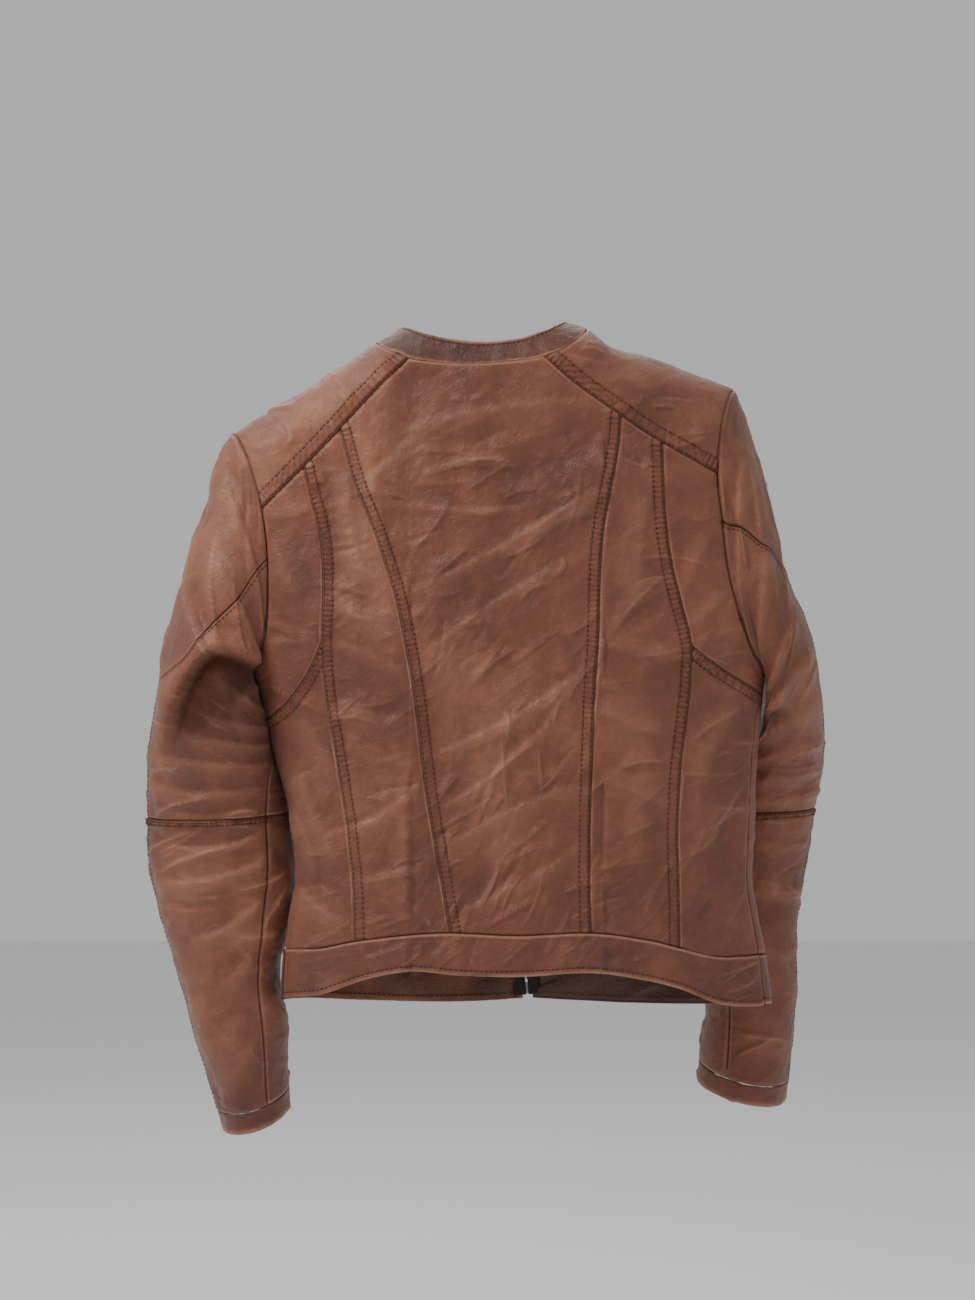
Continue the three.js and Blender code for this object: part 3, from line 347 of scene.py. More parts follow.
def noise(points):
    """Smooth value noise from -1 to 1."""
    cell = np.floor(points).astype(np.int64)
    f = points - cell
    f = f * f * f * (f * (f * 6 - 15) + 10)
    total = 0
    for dx in (0, 1):
        for dy in (0, 1):
            for dz in (0, 1):
                weight = ((f[..., 0] if dx else 1 - f[..., 0])
                          * (f[..., 1] if dy else 1 - f[..., 1])
                          * (f[..., 2] if dz else 1 - f[..., 2]))
                corner = lattice(cell[..., 0] + dx, cell[..., 1] + dy, cell[..., 2] + dz)
                total = total + weight * corner
    return total


def ridged(points, size, sharp=2.2):
    """Flat-sided bumps that meet in sharp crests, as in crumpled leather."""
    warp = noise(points / (size * 1.9) + 31) * size * 0.55
    moved = points + np.stack([warp, warp * 0.3, -warp * 0.6], axis=-1)
    return np.clip(1 - np.abs(noise(moved / size)) * 1.35, 0, 1) ** sharp


def slanted(points, degrees, stretch):
    """Points with one direction of the x-z plane drawn out, so creases run along it."""
    lean = np.radians(degrees)
    x, z = points[..., 0] + 20, points[..., 2] + 250
    along = -x * np.cos(lean) + z * np.sin(lean)
    over = x * np.sin(lean) + z * np.cos(lean)
    return np.stack([along / stretch, points[..., 1] * 0.8, over], axis=-1)


# Listed folds by face: start x z, end x z, height, half width, bow.
FOLDS = {
    "back": [
        ((60, -196), (-92, -110), 1.0, 5, 4), ((52, -250), (-70, -168), 0.8, 5, -3),
        ((40, -330), (-80, -262), 1.1, 6, 5), ((30, -372), (-60, -296), 1.0, 5, 5),
        ((36, -410), (-84, -352), 0.9, 6, -5), ((10, -455), (-84, -402), 0.9, 7, 4),
        ((80, -120), (-40, -124), 0.7, 4, 5), ((50, -58), (-96, -38), 0.9, 7, -5),
        ((96, -66), (70, -230), 1.6, 13, 4), ((112, -98), (96, -190), 1.4, 8, 3),
        ((128, -104), (122, -180), -1.1, 7, 0), ((120, -196), (78, -226), 0.9, 5, 4),
        ((124, -236), (66, -262), 0.8, 6, -3), ((118, -286), (60, -300), 0.9, 6, 4),
        ((112, -330), (56, -344), -0.8, 6, 3), ((108, -392), (50, -352), 1.1, 7, 4),
        ((104, -440), (44, -420), 0.8, 7, -3), ((150, -298), (112, -352), 1.2, 8, 3),
        ((152, -342), (118, -420), 1.6, 9, 5), ((162, -372), (140, -430), 1.3, 7, -4),
        ((156, -440), (112, -470), 1.0, 8, 4), ((172, -150), (150, -200), 1.0, 7, 3),
        ((166, -208), (146, -244), -0.8, 6, 2), ((-136, -110), (-128, -200), 1.4, 10, 3),
        ((-150, -190), (-104, -230), 0.9, 7, 4), ((-154, -252), (-100, -240), 0.8, 6, 3),
        ((-150, -310), (-100, -290), 1.0, 7, -4), ((-152, -372), (-98, -350), 0.9, 7, 3),
        ((-186, -150), (-166, -200), 1.0, 7, 3), ((-200, -196), (-176, -226), 0.9, 6, 3),
        ((-208, -290), (-182, -350), 1.1, 8, 4), ((-206, -372), (-176, -400), 0.9, 8, 3),
        ((-214, -330), (-196, -440), -0.8, 9, 0), ((-104, -110), (-76, -140), 1.0, 6, 3),
        ((-96, -128), (-40, -150), 0.9, 5, 3), ((-92, -76), (-110, -96), 0.8, 6, 0),
    ],
    "front": [
        ((60, -100), (20, -240), 1.3, 12, 6), ((90, -180), (30, -330), 1.1, 10, 6),
        ((60, -330), (-10, -440), 1.2, 10, 6), ((-40, -110), (-90, -250), 1.2, 12, 5),
        ((-60, -260), (-110, -400), 1.1, 10, 5), ((-60, -430), (-130, -480), 0.9, 9, 4),
        ((150, -160), (120, -300), 1.2, 12, 5), ((140, -330), (90, -440), 1.2, 10, 5),
        ((-180, -150), (-140, -300), 1.2, 12, 5), ((-190, -330), (-150, -450), 1.1, 10, 5),
    ],
}


def fold_height(points, face):
    """How far the listed folds stand off the surface."""
    x, z = points[..., 0], points[..., 2]
    total = np.zeros(x.shape)
    for start, end, height, width, bow in FOLDS[face]:
        a, b = np.array(start, float), np.array(end, float)
        along = b - a
        length = np.linalg.norm(along)
        along = along / length
        normal = np.array([-along[1], along[0]])
        px, pz = x - a[0], z - a[1]
        s = (px * along[0] + pz * along[1]) / length
        d = px * normal[0] + pz * normal[1] - bow * 4 * s * (1 - s)
        ends = smooth_step((s + 0.12) / 0.3) * smooth_step((1.12 - s) / 0.3)
        sharp = np.where(d > 0, bump(d, width * 1.5), bump(d, width * 0.55))
        total = total + height * ends * sharp
    return total


# How strongly each area is crumpled, by face: x, z, radius, strength.
CRUMPLED = {
    "back": [
        (100, -190, 46, 0.9), (112, -130, 34, 0.6), (150, -60, 40, 0.5), (60, -80, 40, 0.5),
        (-60, -66, 44, 0.5), (40, -220, 40, 0.3), (90, -320, 40, 0.4), (140, -400, 46, 0.6),
        (40, -370, 46, 0.3), (-130, -230, 40, 0.3), (-190, -200, 36, 0.4),
        (-200, -380, 40, 0.3), (0, -500, 240, 0.5), (-120, -520, 120, 0.5),
        (-70, -130, 40, 0.3),
    ],
}


def creases_on(seed, count, x_range, z_range, lean_at, busy_at, lengths, heights):
    """Short creases scattered over an area: centre, direction, length, width, height, bow."""
    rng = np.random.default_rng(seed)
    out = []
    while len(out) < count:
        x, z = rng.uniform(*x_range), rng.uniform(*z_range)
        if rng.uniform(0, 1.5) > busy_at(x, z):
            continue
        lean = np.radians(lean_at(x, z) + rng.normal(0, 20))
        size = rng.uniform(*heights) * (1 if rng.uniform() < 0.7 else -0.7)
        length = rng.uniform(*lengths)
        out.append((x, z, lean, length, rng.uniform(1.2, 3.6), size, rng.uniform(-4, 4)))
    return out


def crease_heights(x, z, creases):
    """Height of scattered creases at flat places x, z, and a mask along their crests for painted
    highlights.
    """
    height, crest_highlight = np.zeros(x.shape), np.zeros(x.shape)
    for cx, cz, lean, length, width, size, bow in creases:
        reach = length * 0.75 + 8
        near = (np.abs(x - cx) < reach) & (np.abs(z - cz) < reach)
        if not near.any():
            continue
        px, pz = x[near] - cx, z[near] - cz
        along = (-px * np.cos(lean) + pz * np.sin(lean)) / (length / 2)
        d = px * np.sin(lean) + pz * np.cos(lean) - bow * (1 - along ** 2)
        ends = smooth_step((1.15 - np.abs(along)) / 0.6)
        side = np.where(d > 0, bump(d, width * 2.3), bump(d, width * 0.7))
        height[near] += size * ends * side
        crest_highlight[near] += abs(size) * ends * bump(d - 0.2, width * 0.3)
    return height, crest_highlight


def body_lean(x, z):
    lean = np.interp(z, [-480, -330, -230, -110, -40], [52, 58, 40, 24, 8])
    lean = np.where(x > 60, lean * 0.5 - 22 * smooth_step((x - 60) / 50), lean)
    return np.where(x < -100, lean * 0.55, lean)


def busy_at(x, z, face):
    busy = np.full(np.shape(x), 0.5)
    for cx, cz, radius, strength in CRUMPLED.get(face, ()):
        busy = busy + strength * bump(np.hypot(x - cx, z - cz), radius)
    return busy


CREASES = {
    "back": creases_on(5, 330, (-240, 215), (-535, 15), body_lean,
                       lambda x, z: busy_at(x, z, "back"), (12, 62), (0.35, 1.5)),
    "front": creases_on(8, 210, (-240, 215), (-545, 15), body_lean,
                        lambda x, z: busy_at(x, z, "front"), (16, 70), (0.35, 1.5)),
}


def drape(points, face):
    """Folds and creases of the body leather: height in millimetres, and a mask of their sharp
    crests and raised folds for painted highlights.
    """
    x, z = points[..., 0], points[..., 2]
    lean = body_lean(x, z)
    busy = busy_at(x, z, face)
    slant = slanted(points, lean, 2.6)
    soft = noise(slanted(points, lean + 30, 1.6) / 44) * 2.4 + noise(slant / 24 + 7) * 1.3
    fine = ridged(slanted(points, lean + 14, 1.8) + 9, 9.5, 1.5)
    tiny = ridged(points + 50, 5.2, 1.3)
    strokes, crest_highlight = crease_heights(x, z, CREASES[face])
    height = soft + strokes * 1.15 + (fine - 0.4) * 0.75 * busy + (tiny - 0.4) * 0.32 * busy
    laid = fold_height(points, face)
    return height + laid * 1.6, np.clip(crest_highlight * 0.3 + 0.12 * np.clip(laid, 0, 2), 0, 1)


# ------------------------------------------------------------------ mesh building


def spaced(length, fine_ends=(True, True), fine=1.15, coarse=2.5, band=12.0):
    """Shares from 0 to 1 along a length, close together near its stitched ends."""
    band = min(band, length * 0.45)
    marks = [0.0]
    while marks[-1] < length - 0.4 * fine:
        at = marks[-1]
        near = (fine_ends[0] and at < band) or (fine_ends[1] and at > length - band - coarse)
        marks.append(at + (fine if near else coarse))
    marks = np.array(marks)
    return marks * (1.0 / marks[-1])


def coons(lines, s, t):
    """Spots of a four-sided patch from its border lines: top, bottom, left, right."""
    top, bottom, left, right = (line(mark) for line, mark in zip(lines, (s, s, t, t)))
    s, t = s[None, :, None], t[:, None, None]
    plain = ((1 - s) * left[:, None] + s * right[:, None]
             + (1 - t) * top[None] + t * bottom[None])
    upper = (1 - s) * top[0] + s * top[-1]
    lower = (1 - s) * bottom[0] + s * bottom[-1]
    return plain - (1 - t) * upper - t * lower


def relax(spots, s, t, rounds=900):
    """Evens a patch out so that it doesn't fold back on itself near a sharp corner."""
    out = spots.copy()
    left, right = s[1:-1] - s[:-2], s[2:] - s[1:-1]
    up, down = t[1:-1] - t[:-2], t[2:] - t[1:-1]
    a, b = (1 / left)[None, :, None], (1 / right)[None, :, None]
    c, d = (1 / up)[:, None, None], (1 / down)[:, None, None]
    total = a + b + c + d
    for _ in range(rounds):
        inner = (a * out[1:-1, :-2] + b * out[1:-1, 2:] + c * out[:-2, 1:-1]
                 + d * out[2:, 1:-1])
        out[1:-1, 1:-1] = inner / total
    return out


def surface_normals(spots, point, steps):
    da, db = np.array([steps[0], 0.0]), np.array([0.0, steps[1]])
    along = point(spots + da) - point(spots - da)
    down = point(spots - db) - point(spots + db)
    normal = np.cross(along, down)
    normal /= np.maximum(np.linalg.norm(normal, axis=-1, keepdims=True), 1e-9)
    return normal


def outward(grid, normals, centre):
    j, i = grid.shape[0] // 2, grid.shape[1] // 2
    return normals if np.dot(normals[j, i], grid[j, i] - centre) > 0 else -normals


def line_distance(points, line):
    """Distance from each point to a polyline, and how far along the line it is."""
    flat = points.reshape(-1, 3)
    a, b = line[:-1], line[1:]
    along = b - a
    size = np.maximum((along ** 2).sum(1), 1e-9)
    reach = np.concatenate([[0], np.cumsum(np.sqrt(size))])
    best = np.full(len(flat), 1e9)
    where = np.zeros(len(flat))
    for k in range(len(a)):
        f = np.clip(((flat - a[k]) @ along[k]) / size[k], 0, 1)
        d = np.linalg.norm(flat - a[k] - f[:, None] * along[k], axis=1)
        closer = d < best
        best = np.where(closer, d, best)
        where = np.where(closer, reach[k] + f * np.sqrt(size[k]), where)
    return best.reshape(points.shape[:-1]), where.reshape(points.shape[:-1])


def new_object(name, vertices, faces, material, attributes=None, smooth=True):
    mesh = bpy.data.meshes.new(name)
    mesh.from_pydata((np.asarray(vertices) * MM).tolist(), [], faces)
    mesh.update()
    for key, values in (attributes or {}).items():
        layer = mesh.attributes.new(key, "FLOAT", "POINT")
        layer.data.foreach_set("value", np.asarray(values, np.float32).ravel())
    if smooth:
        mesh.polygons.foreach_set("use_smooth", [True] * len(mesh.polygons))
    mesh.materials.append(material)
    obj = bpy.data.objects.new(name, mesh)
    bpy.context.scene.collection.objects.link(obj)
    return obj


def sheet_faces(rows, columns, looped=False):
    """Quads of a thin closed shell: outer grid, inner grid and the rim round them."""
    layer = rows * columns
    i = np.arange(columns if looped else columns - 1)
    k = (i + 1) % columns
    j = np.arange(rows - 1)[:, None] * columns
    a, b, c, d = (v.ravel() for v in np.broadcast_arrays(j + i, j + k, j + columns + k,
                                                        j + columns + i))
    low = (rows - 1) * columns
    parts = [np.stack([a, b, c, d], 1),
             np.stack([layer + d, layer + c, layer + b, layer + a], 1),
             np.stack([i + layer, k + layer, k, i], 1),
             np.stack([low + i, low + k, low + k + layer, low + i + layer], 1)]
    if not looped:
        first = np.arange(rows - 1) * columns
        next_row, end = first + columns, columns - 1
        parts.append(np.stack([first, next_row, next_row + layer, first + layer], 1))
        parts.append(np.stack([first + end + layer, next_row + end + layer,
                               next_row + end, first + end], 1))
    return np.concatenate(parts)


def outward_faces(vertices, faces):
    v = np.asarray(vertices)
    a, b, c, d = (v[faces[:, k]] for k in range(4))
    volume = (np.einsum("ij,ij->i", a, np.cross(b, c))
              + np.einsum("ij,ij->i", a, np.cross(c, d))).sum()
    return (faces if volume > 0 else faces[:, ::-1]).tolist()


def grid_normals(grid, looped=False):
    if looped:
        along = np.roll(grid, -1, axis=1) - np.roll(grid, 1, axis=1)
    else:
        along = np.gradient(grid, axis=1)
    down = np.gradient(grid, axis=0)
    normal = np.cross(along, down)
    return normal / np.maximum(np.linalg.norm(normal, axis=-1, keepdims=True), 1e-9)


def shell_object(name, grid, material, thickness, attributes, looped=False, centre=None):
    """A panel with thickness. The grid is its outer face, already draped."""
    normals = grid_normals(grid, looped)
    normals = outward(grid, normals, centre)
    inner = grid - normals * thickness
    rows, columns = grid.shape[:2]
    vertices = np.concatenate([grid.reshape(-1, 3), inner.reshape(-1, 3)])
    faces = outward_faces(vertices, sheet_faces(rows, columns, looped))
    doubled = {k: np.concatenate([v.ravel(), v.ravel()]) for k, v in attributes.items()}
    doubled["inside"] = np.concatenate([np.zeros(rows * columns), np.ones(rows * columns)])
    return new_object(name, vertices, faces, material, doubled)


# ------------------------------------------------------------------ seams on a panel

STITCH_SECTION = 6


def stitches(rows):
    """Vertices and faces of the stitches along rows of (points, normals) lines."""
    ring = np.linspace(0, 2 * np.pi, STITCH_SECTION, endpoint=False)
    profile = [(-0.5, 0.25), (-0.3, 0.95), (0.3, 0.95), (0.5, 0.25)]
    vertices, faces = [], []
    for points, normals in rows:
        steps = np.linalg.norm(np.diff(points, axis=0), axis=1)
        reach = np.concatenate([[0], np.cumsum(steps)])
        count = int(reach[-1] / STITCH_PITCH)
        if count < 2:
            continue
        marks = (np.arange(count) + 0.5) * reach[-1] / count

        def at(mark, field):
            return np.stack([np.interp(mark, reach, lane) for lane in field.T], axis=-1)

        spots, ups = at(marks, points), at(marks, normals)
        along = at(marks + 0.6, points) - at(marks - 0.6, points)
        along /= np.maximum(np.linalg.norm(along, axis=1, keepdims=True), 1e-9)
        ups = ups - along * (ups * along).sum(1, keepdims=True)
        ups /= np.maximum(np.linalg.norm(ups, axis=1, keepdims=True), 1e-9)
        sides = np.cross(ups, along)
        for k in range(count):
            base = len(vertices)
            for share, wide in profile:
                sink = 0.18 if abs(share) > 0.4 else 0.0
                hub = spots[k] + along[k] * share * STITCH_LENGTH + ups[k] * (0.12 - sink)
                for turn in ring:
                    lift = ups[k] * math.sin(turn) * 0.34 * wide
                    vertices.append(hub + sides[k] * math.cos(turn) * 0.52 * wide + lift)
            for level in range(len(profile) - 1):
                for i in range(STITCH_SECTION):
                    n = (i + 1) % STITCH_SECTION
                    a = base + level * STITCH_SECTION
                    b = a + STITCH_SECTION
                    faces.append((a + i, a + n, b + n, b + i))
            faces.append(tuple(base + i for i in reversed(range(STITCH_SECTION))))
            top = base + (len(profile) - 1) * STITCH_SECTION
            faces.append(tuple(top + i for i in range(STITCH_SECTION)))
    return vertices, faces


def row_on_grid(grid, normals, distance, want, axis, from_low):
    """The line on a panel where its distance to one border has a given value."""
    points, ups = [], []
    lanes = grid.shape[0] if axis == 1 else grid.shape[1]
    for k in range(lanes):
        lane = (lambda field: field[k]) if axis == 1 else (lambda field: field[:, k])
        d, g, n = lane(distance), lane(grid), lane(normals)
        if not from_low:
            d, g, n = d[::-1], g[::-1], n[::-1]
        over = np.nonzero(d >= want)[0]
        if not len(over) or over[0] == 0:
            continue
        i = over[0]
        f = (want - d[i - 1]) / max(d[i] - d[i - 1], 1e-6)
        points.append(g[i - 1] + (g[i] - g[i - 1]) * f)
        ups.append(n[i - 1] + (n[i] - n[i - 1]) * f)
    return np.array(points), np.array(ups)


BORDERS = {"top": (0, True), "bottom": (0, False), "left": (1, True), "right": (1, False)}


def border_line(grid, border):
    return {"top": grid[0], "bottom": grid[-1], "left": grid[:, 0],
            "right": grid[:, -1]}[border]


def seam_relief(base, seams):
    """Height, wear and groove maps from each border's seam, and its distance map. The groove map
    darkens the seam joints and stitch rows, partly as painted shade in their recess, and paints
    shade in the valleys of the puckers between stitch rows.
    """
    shape = base.shape[:2]
    height, wear, groove = np.zeros(shape), np.zeros(shape), np.zeros(shape)
    distances = {}
    for border, (kind, rows) in seams.items():
        line = border_line(base, border)
        line = line[:: max(1, len(line) // 60)] if len(line) > 120 else line
        full = border_line(base, border)
        if not np.allclose(line[-1], full[-1]):
            line = np.concatenate([line, full[-1:]])
        d, along = line_distance(base, line)
        distances[border] = d
        ladder = np.sin(along * (2 * np.pi / STITCH_PITCH))
        wobble = 0.75 + 0.5 * noise(np.stack([along / 23, along * 0 + len(rows), d * 0],
                                             axis=-1))
        if kind == "over":
            height += 0.55 * bump(d - 1.6, 2.2) - 1.1 * bump(d, 0.9)
        elif kind == "under":
            height += -0.9 * bump(d, 2.2)
            wear += 0.9 * bump(d - 0.9, 0.9) * wobble
        elif kind == "plain":
            height += -1.2 * bump(d, 1.8)
            wear += 0.35 * bump(d - 1.5, 1.2) * wobble
        elif kind == "edge":
            height += -0.7 * bump(d, 1.1)
            wear += 0.75 * bump(d - 0.6, 1.5) * wobble
        elif kind == "piped":
            height += 0.7 * bump(d - 1.1, 1.1) - 1.1 * bump(d, 0.5)
            wear += 1.2 * bump(d - 1.1, 0.9)
        groove += bump(d, 1.1) * (0.8 if kind != "edge" else 0.2)
        for offset in rows:
            height += -0.5 * bump(d - offset, 1.0)
            groove += 0.24 * bump(d - offset, 1.0)
        if len(rows) > 1:
            low, high = min(rows), max(rows)
            inside = smooth_step((d - low + 1.5) / 1.5) * smooth_step((high + 2.4 - d) / 2.0)
            pucker = 0.45 + 0.9 * smooth_step(noise(np.stack([along / 60, d * 0, d * 0 + 3],
                                                             axis=-1)) + 0.5)
            height += 0.42 * ladder * inside * pucker + 0.4 * inside
            # Painted shade in the pucker valleys between the stitch rows.
            groove += 0.34 * inside * np.clip(-ladder, 0, 1) * pucker + 0.06 * inside
        elif rows:
            inside = bump(d - rows[0], 2.2)
            height += 0.13 * ladder * inside * wobble
    return height, np.clip(wear, 0, 1), np.clip(groove, 0, 1), distances


def seam_rows(seams, grid, up, distances):
    """The stitch rows of a panel, as pairs of points and normals."""
    found = []
    for border, (_, offsets) in seams.items():
        axis, from_low = BORDERS[border]
        for offset in offsets:
            points, ups = row_on_grid(grid, up, distances[border], offset, axis, from_low)
            if len(points) > 3:
                found.append((points, ups))
    return found


# Lighter and darker spots, by piece family: x, z, radius, strength. The pale spots on the
# shoulders, yokes and sleeve tops, strongest on the left, are painted light where the lamp
# falls; the dark spots beside the left armhole and under the upper-arm roll are painted shade;
# the others make the tone lighter or darker in patches, darker along the waistband and toward
# the cuffs.
TONE_AND_PAINTED_LIGHT_SPOTS = {
    "back": [
        (118, -30, 42, 0.75), (160, -70, 45, 0.7), (200, -110, 40, 0.5), (92, -80, 20, 0.7),
        (100, -180, 26, 0.5), (60, -64, 22, 0.3), (30, -110, 40, -0.35),
        (-60, -120, 45, -0.35), (-20, -260, 60, 0.3), (-60, -180, 40, 0.3),
        (-130, -250, 30, -0.4), (-130, -150, 26, 0.15), (150, -260, 34, -0.45),
        (145, -330, 34, -0.35), (80, -330, 40, -0.1), (160, -180, 30, -0.3),
        (-110, -420, 50, 0.1), (-40, -420, 60, -0.1), (60, -440, 50, -0.15),
        (-190, -400, 50, -0.25), (-200, -90, 30, 0.25), (60, -505, 70, -0.5),
        (-30, -505, 70, -0.5), (-130, -510, 70, -0.5), (140, -515, 50, -0.4),
        (-215, -515, 50, -0.5), (-160, -40, 40, -0.1), (0, -20, 70, -0.15),
    ],
    "sleeve": [
        (235, -140, 50, 0.7), (215, -90, 40, 0.6), (262, -250, 34, 0.1), (190, -310, 36, -0.7),
        (235, -340, 36, -0.35), (220, -450, 46, 0.35), (190, -540, 30, 0.1),
        (205, -640, 34, -0.9), (185, -630, 26, -0.5), (255, -480, 30, -0.2),
        (-225, -90, 36, 0.2), (-262, -260, 40, -0.2), (-262, -400, 60, 0.1),
        (-250, -560, 50, 0.0), (-225, -625, 40, -0.7),
    ],
}


# Tone from the listed spots, with their painted light and shade, plus random streaks and patches
# of the hide's own tone.
def tone_map(points, family):
    x, z = points[..., 0], points[..., 2]
    total = np.zeros(x.shape)
    for tx, tz, radius, strength in TONE_AND_PAINTED_LIGHT_SPOTS[family]:
        total += strength * bump(np.hypot(x - tx, (z - tz) * 0.8), radius)
    streaks = noise(np.stack([x / 16, points[..., 1] / 30, z / 70], axis=-1) + 3)
    patches = noise(points / 38 + 19)
    return total + 0.28 * streaks + 0.25 * patches


BODY_CENTRE = np.array([-20.0, 0.0, -260.0])
BODY_STEP = (0.004, 0.3)
PANEL_TICK = 1.65
SLEEVE_TICK = 1.9
SHOULDER_STEP = (0.3, 0.3)
thread_rows = {}


def leather_panel(node, lines, seams, face="back", point=body_point, steps=BODY_STEP,
                  thickness=LEATHER, relaxed=False):
    """One cut piece of leather: draped, shaped at its seams and stitched."""
    t_mid = np.array([0.5])
    width = max(np.linalg.norm(np.diff(point(coons(lines, np.linspace(0, 1, 40), t))[0],
                                       axis=0), axis=1).sum() for t in (t_mid, t_mid * 0.2))
    s_mid = np.array([0.5])
    height = max(np.linalg.norm(np.diff(point(coons(lines, s, np.linspace(0, 1, 60)))[:, 0],
                                        axis=0), axis=1).sum() for s in (s_mid, s_mid * 0.3))
    fine_s = ("left" in seams, "right" in seams)
    fine_t = ("top" in seams, "bottom" in seams)
    s = spaced(width, fine_s)
    t = spaced(height, fine_t, coarse=PANEL_TICK)
    s = SEAM_GAP / width + s * (1 - 2 * SEAM_GAP / width)
    t = SEAM_GAP / height + t * (1 - 2 * SEAM_GAP / height)
    spots = coons(lines, s, t)
    if relaxed:
        spots = relax(spots, s, t)
    base = point(spots)
    normals = outward(base, surface_normals(spots, point, steps), BODY_CENTRE)
    relief, wear, groove, distances = seam_relief(base, seams)
    quiet = np.ones(base.shape[:2])
    for d in distances.values():
        quiet *= 1 - 0.45 * bump(d, 9)
    height, crest_highlight = drape(base, face)
    grid = base + normals * (height * quiet + relief)[..., None]
    # Painted light and shade: raised leather is made paler and the valleys between folds darker.
    tone = tone_map(base, "back") + 0.12 * np.clip(height, -3, 3)
    # Painted highlight: the crease crests and raised folds go into the wear channel with the
    # real seam wear, so both are lightened toward the pale tan.
    wear = np.clip(wear + crest_highlight * quiet, 0, 1)
    attributes = {"wear": wear, "groove": groove, "tone": tone}
    obj = shell_object(node, grid, LEATHER_SKIN, thickness, attributes, centre=BODY_CENTRE)
    up = outward(grid, grid_normals(grid), BODY_CENTRE)
    thread_rows.setdefault("jacket_body", []).extend(seam_rows(seams, grid, up, distances))
    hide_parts(node)
    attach(obj, "jacket_body")


# ------------------------------------------------------------------ materials


def node_material(name):
    material = bpy.data.materials.new(name)
    material.use_nodes = True
    tree = material.node_tree
    shader = tree.nodes["Principled BSDF"]
    return material, tree, shader


def add_node(tree, kind, inputs=None, **settings):
    node = tree.nodes.new(kind)
    for key, value in settings.items():
        setattr(node, key, value)
    for key, value in (inputs or {}).items():
        node.inputs[key].default_value = value
    return node


def ramp(tree, stops):
    node = tree.nodes.new("ShaderNodeValToRGB")
    elements = node.color_ramp.elements
    while len(elements) < len(stops):
        elements.new(0.5)
    for element, (place, colour) in zip(elements, stops):
        element.position = place
        element.color = (*colour, 1)
    return node


def math_node(tree, operation, a, b=None, clamp=False):
    node = tree.nodes.new("ShaderNodeMath")
    node.operation = operation
    node.use_clamp = clamp
    for slot, value in enumerate((a, b)):
        if value is None:
            continue
        if isinstance(value, (int, float)):
            node.inputs[slot].default_value = value
        else:
            tree.links.new(value, node.inputs[slot])
    return node.outputs[0]


def mix_colour(tree, blend, factor, a, b):
    node = tree.nodes.new("ShaderNodeMix")
    node.data_type = "RGBA"
    node.blend_type = blend
    for slot, value in ((0, factor), (6, a), (7, b)):
        if isinstance(value, (int, float)):
            node.inputs[slot].default_value = value
        elif isinstance(value, tuple):
            node.inputs[slot].default_value = (*value, 1)
        else:
            tree.links.new(value, node.inputs[slot])
    return node.outputs[2]


DARK_TAN = (0.060, 0.014, 0.006)
MID_TAN = (0.172, 0.047, 0.020)
PALE_TAN = (0.340, 0.126, 0.060)
# Pale tan of worn leather, also used for the painted highlights on fold crests.
WORN_AND_HIGHLIGHT_TAN = (0.47, 0.21, 0.115)
# Dark brown of the seam joints, also used for painted shade.
SEAM_BROWN_AND_SHADE = (0.060, 0.013, 0.006)


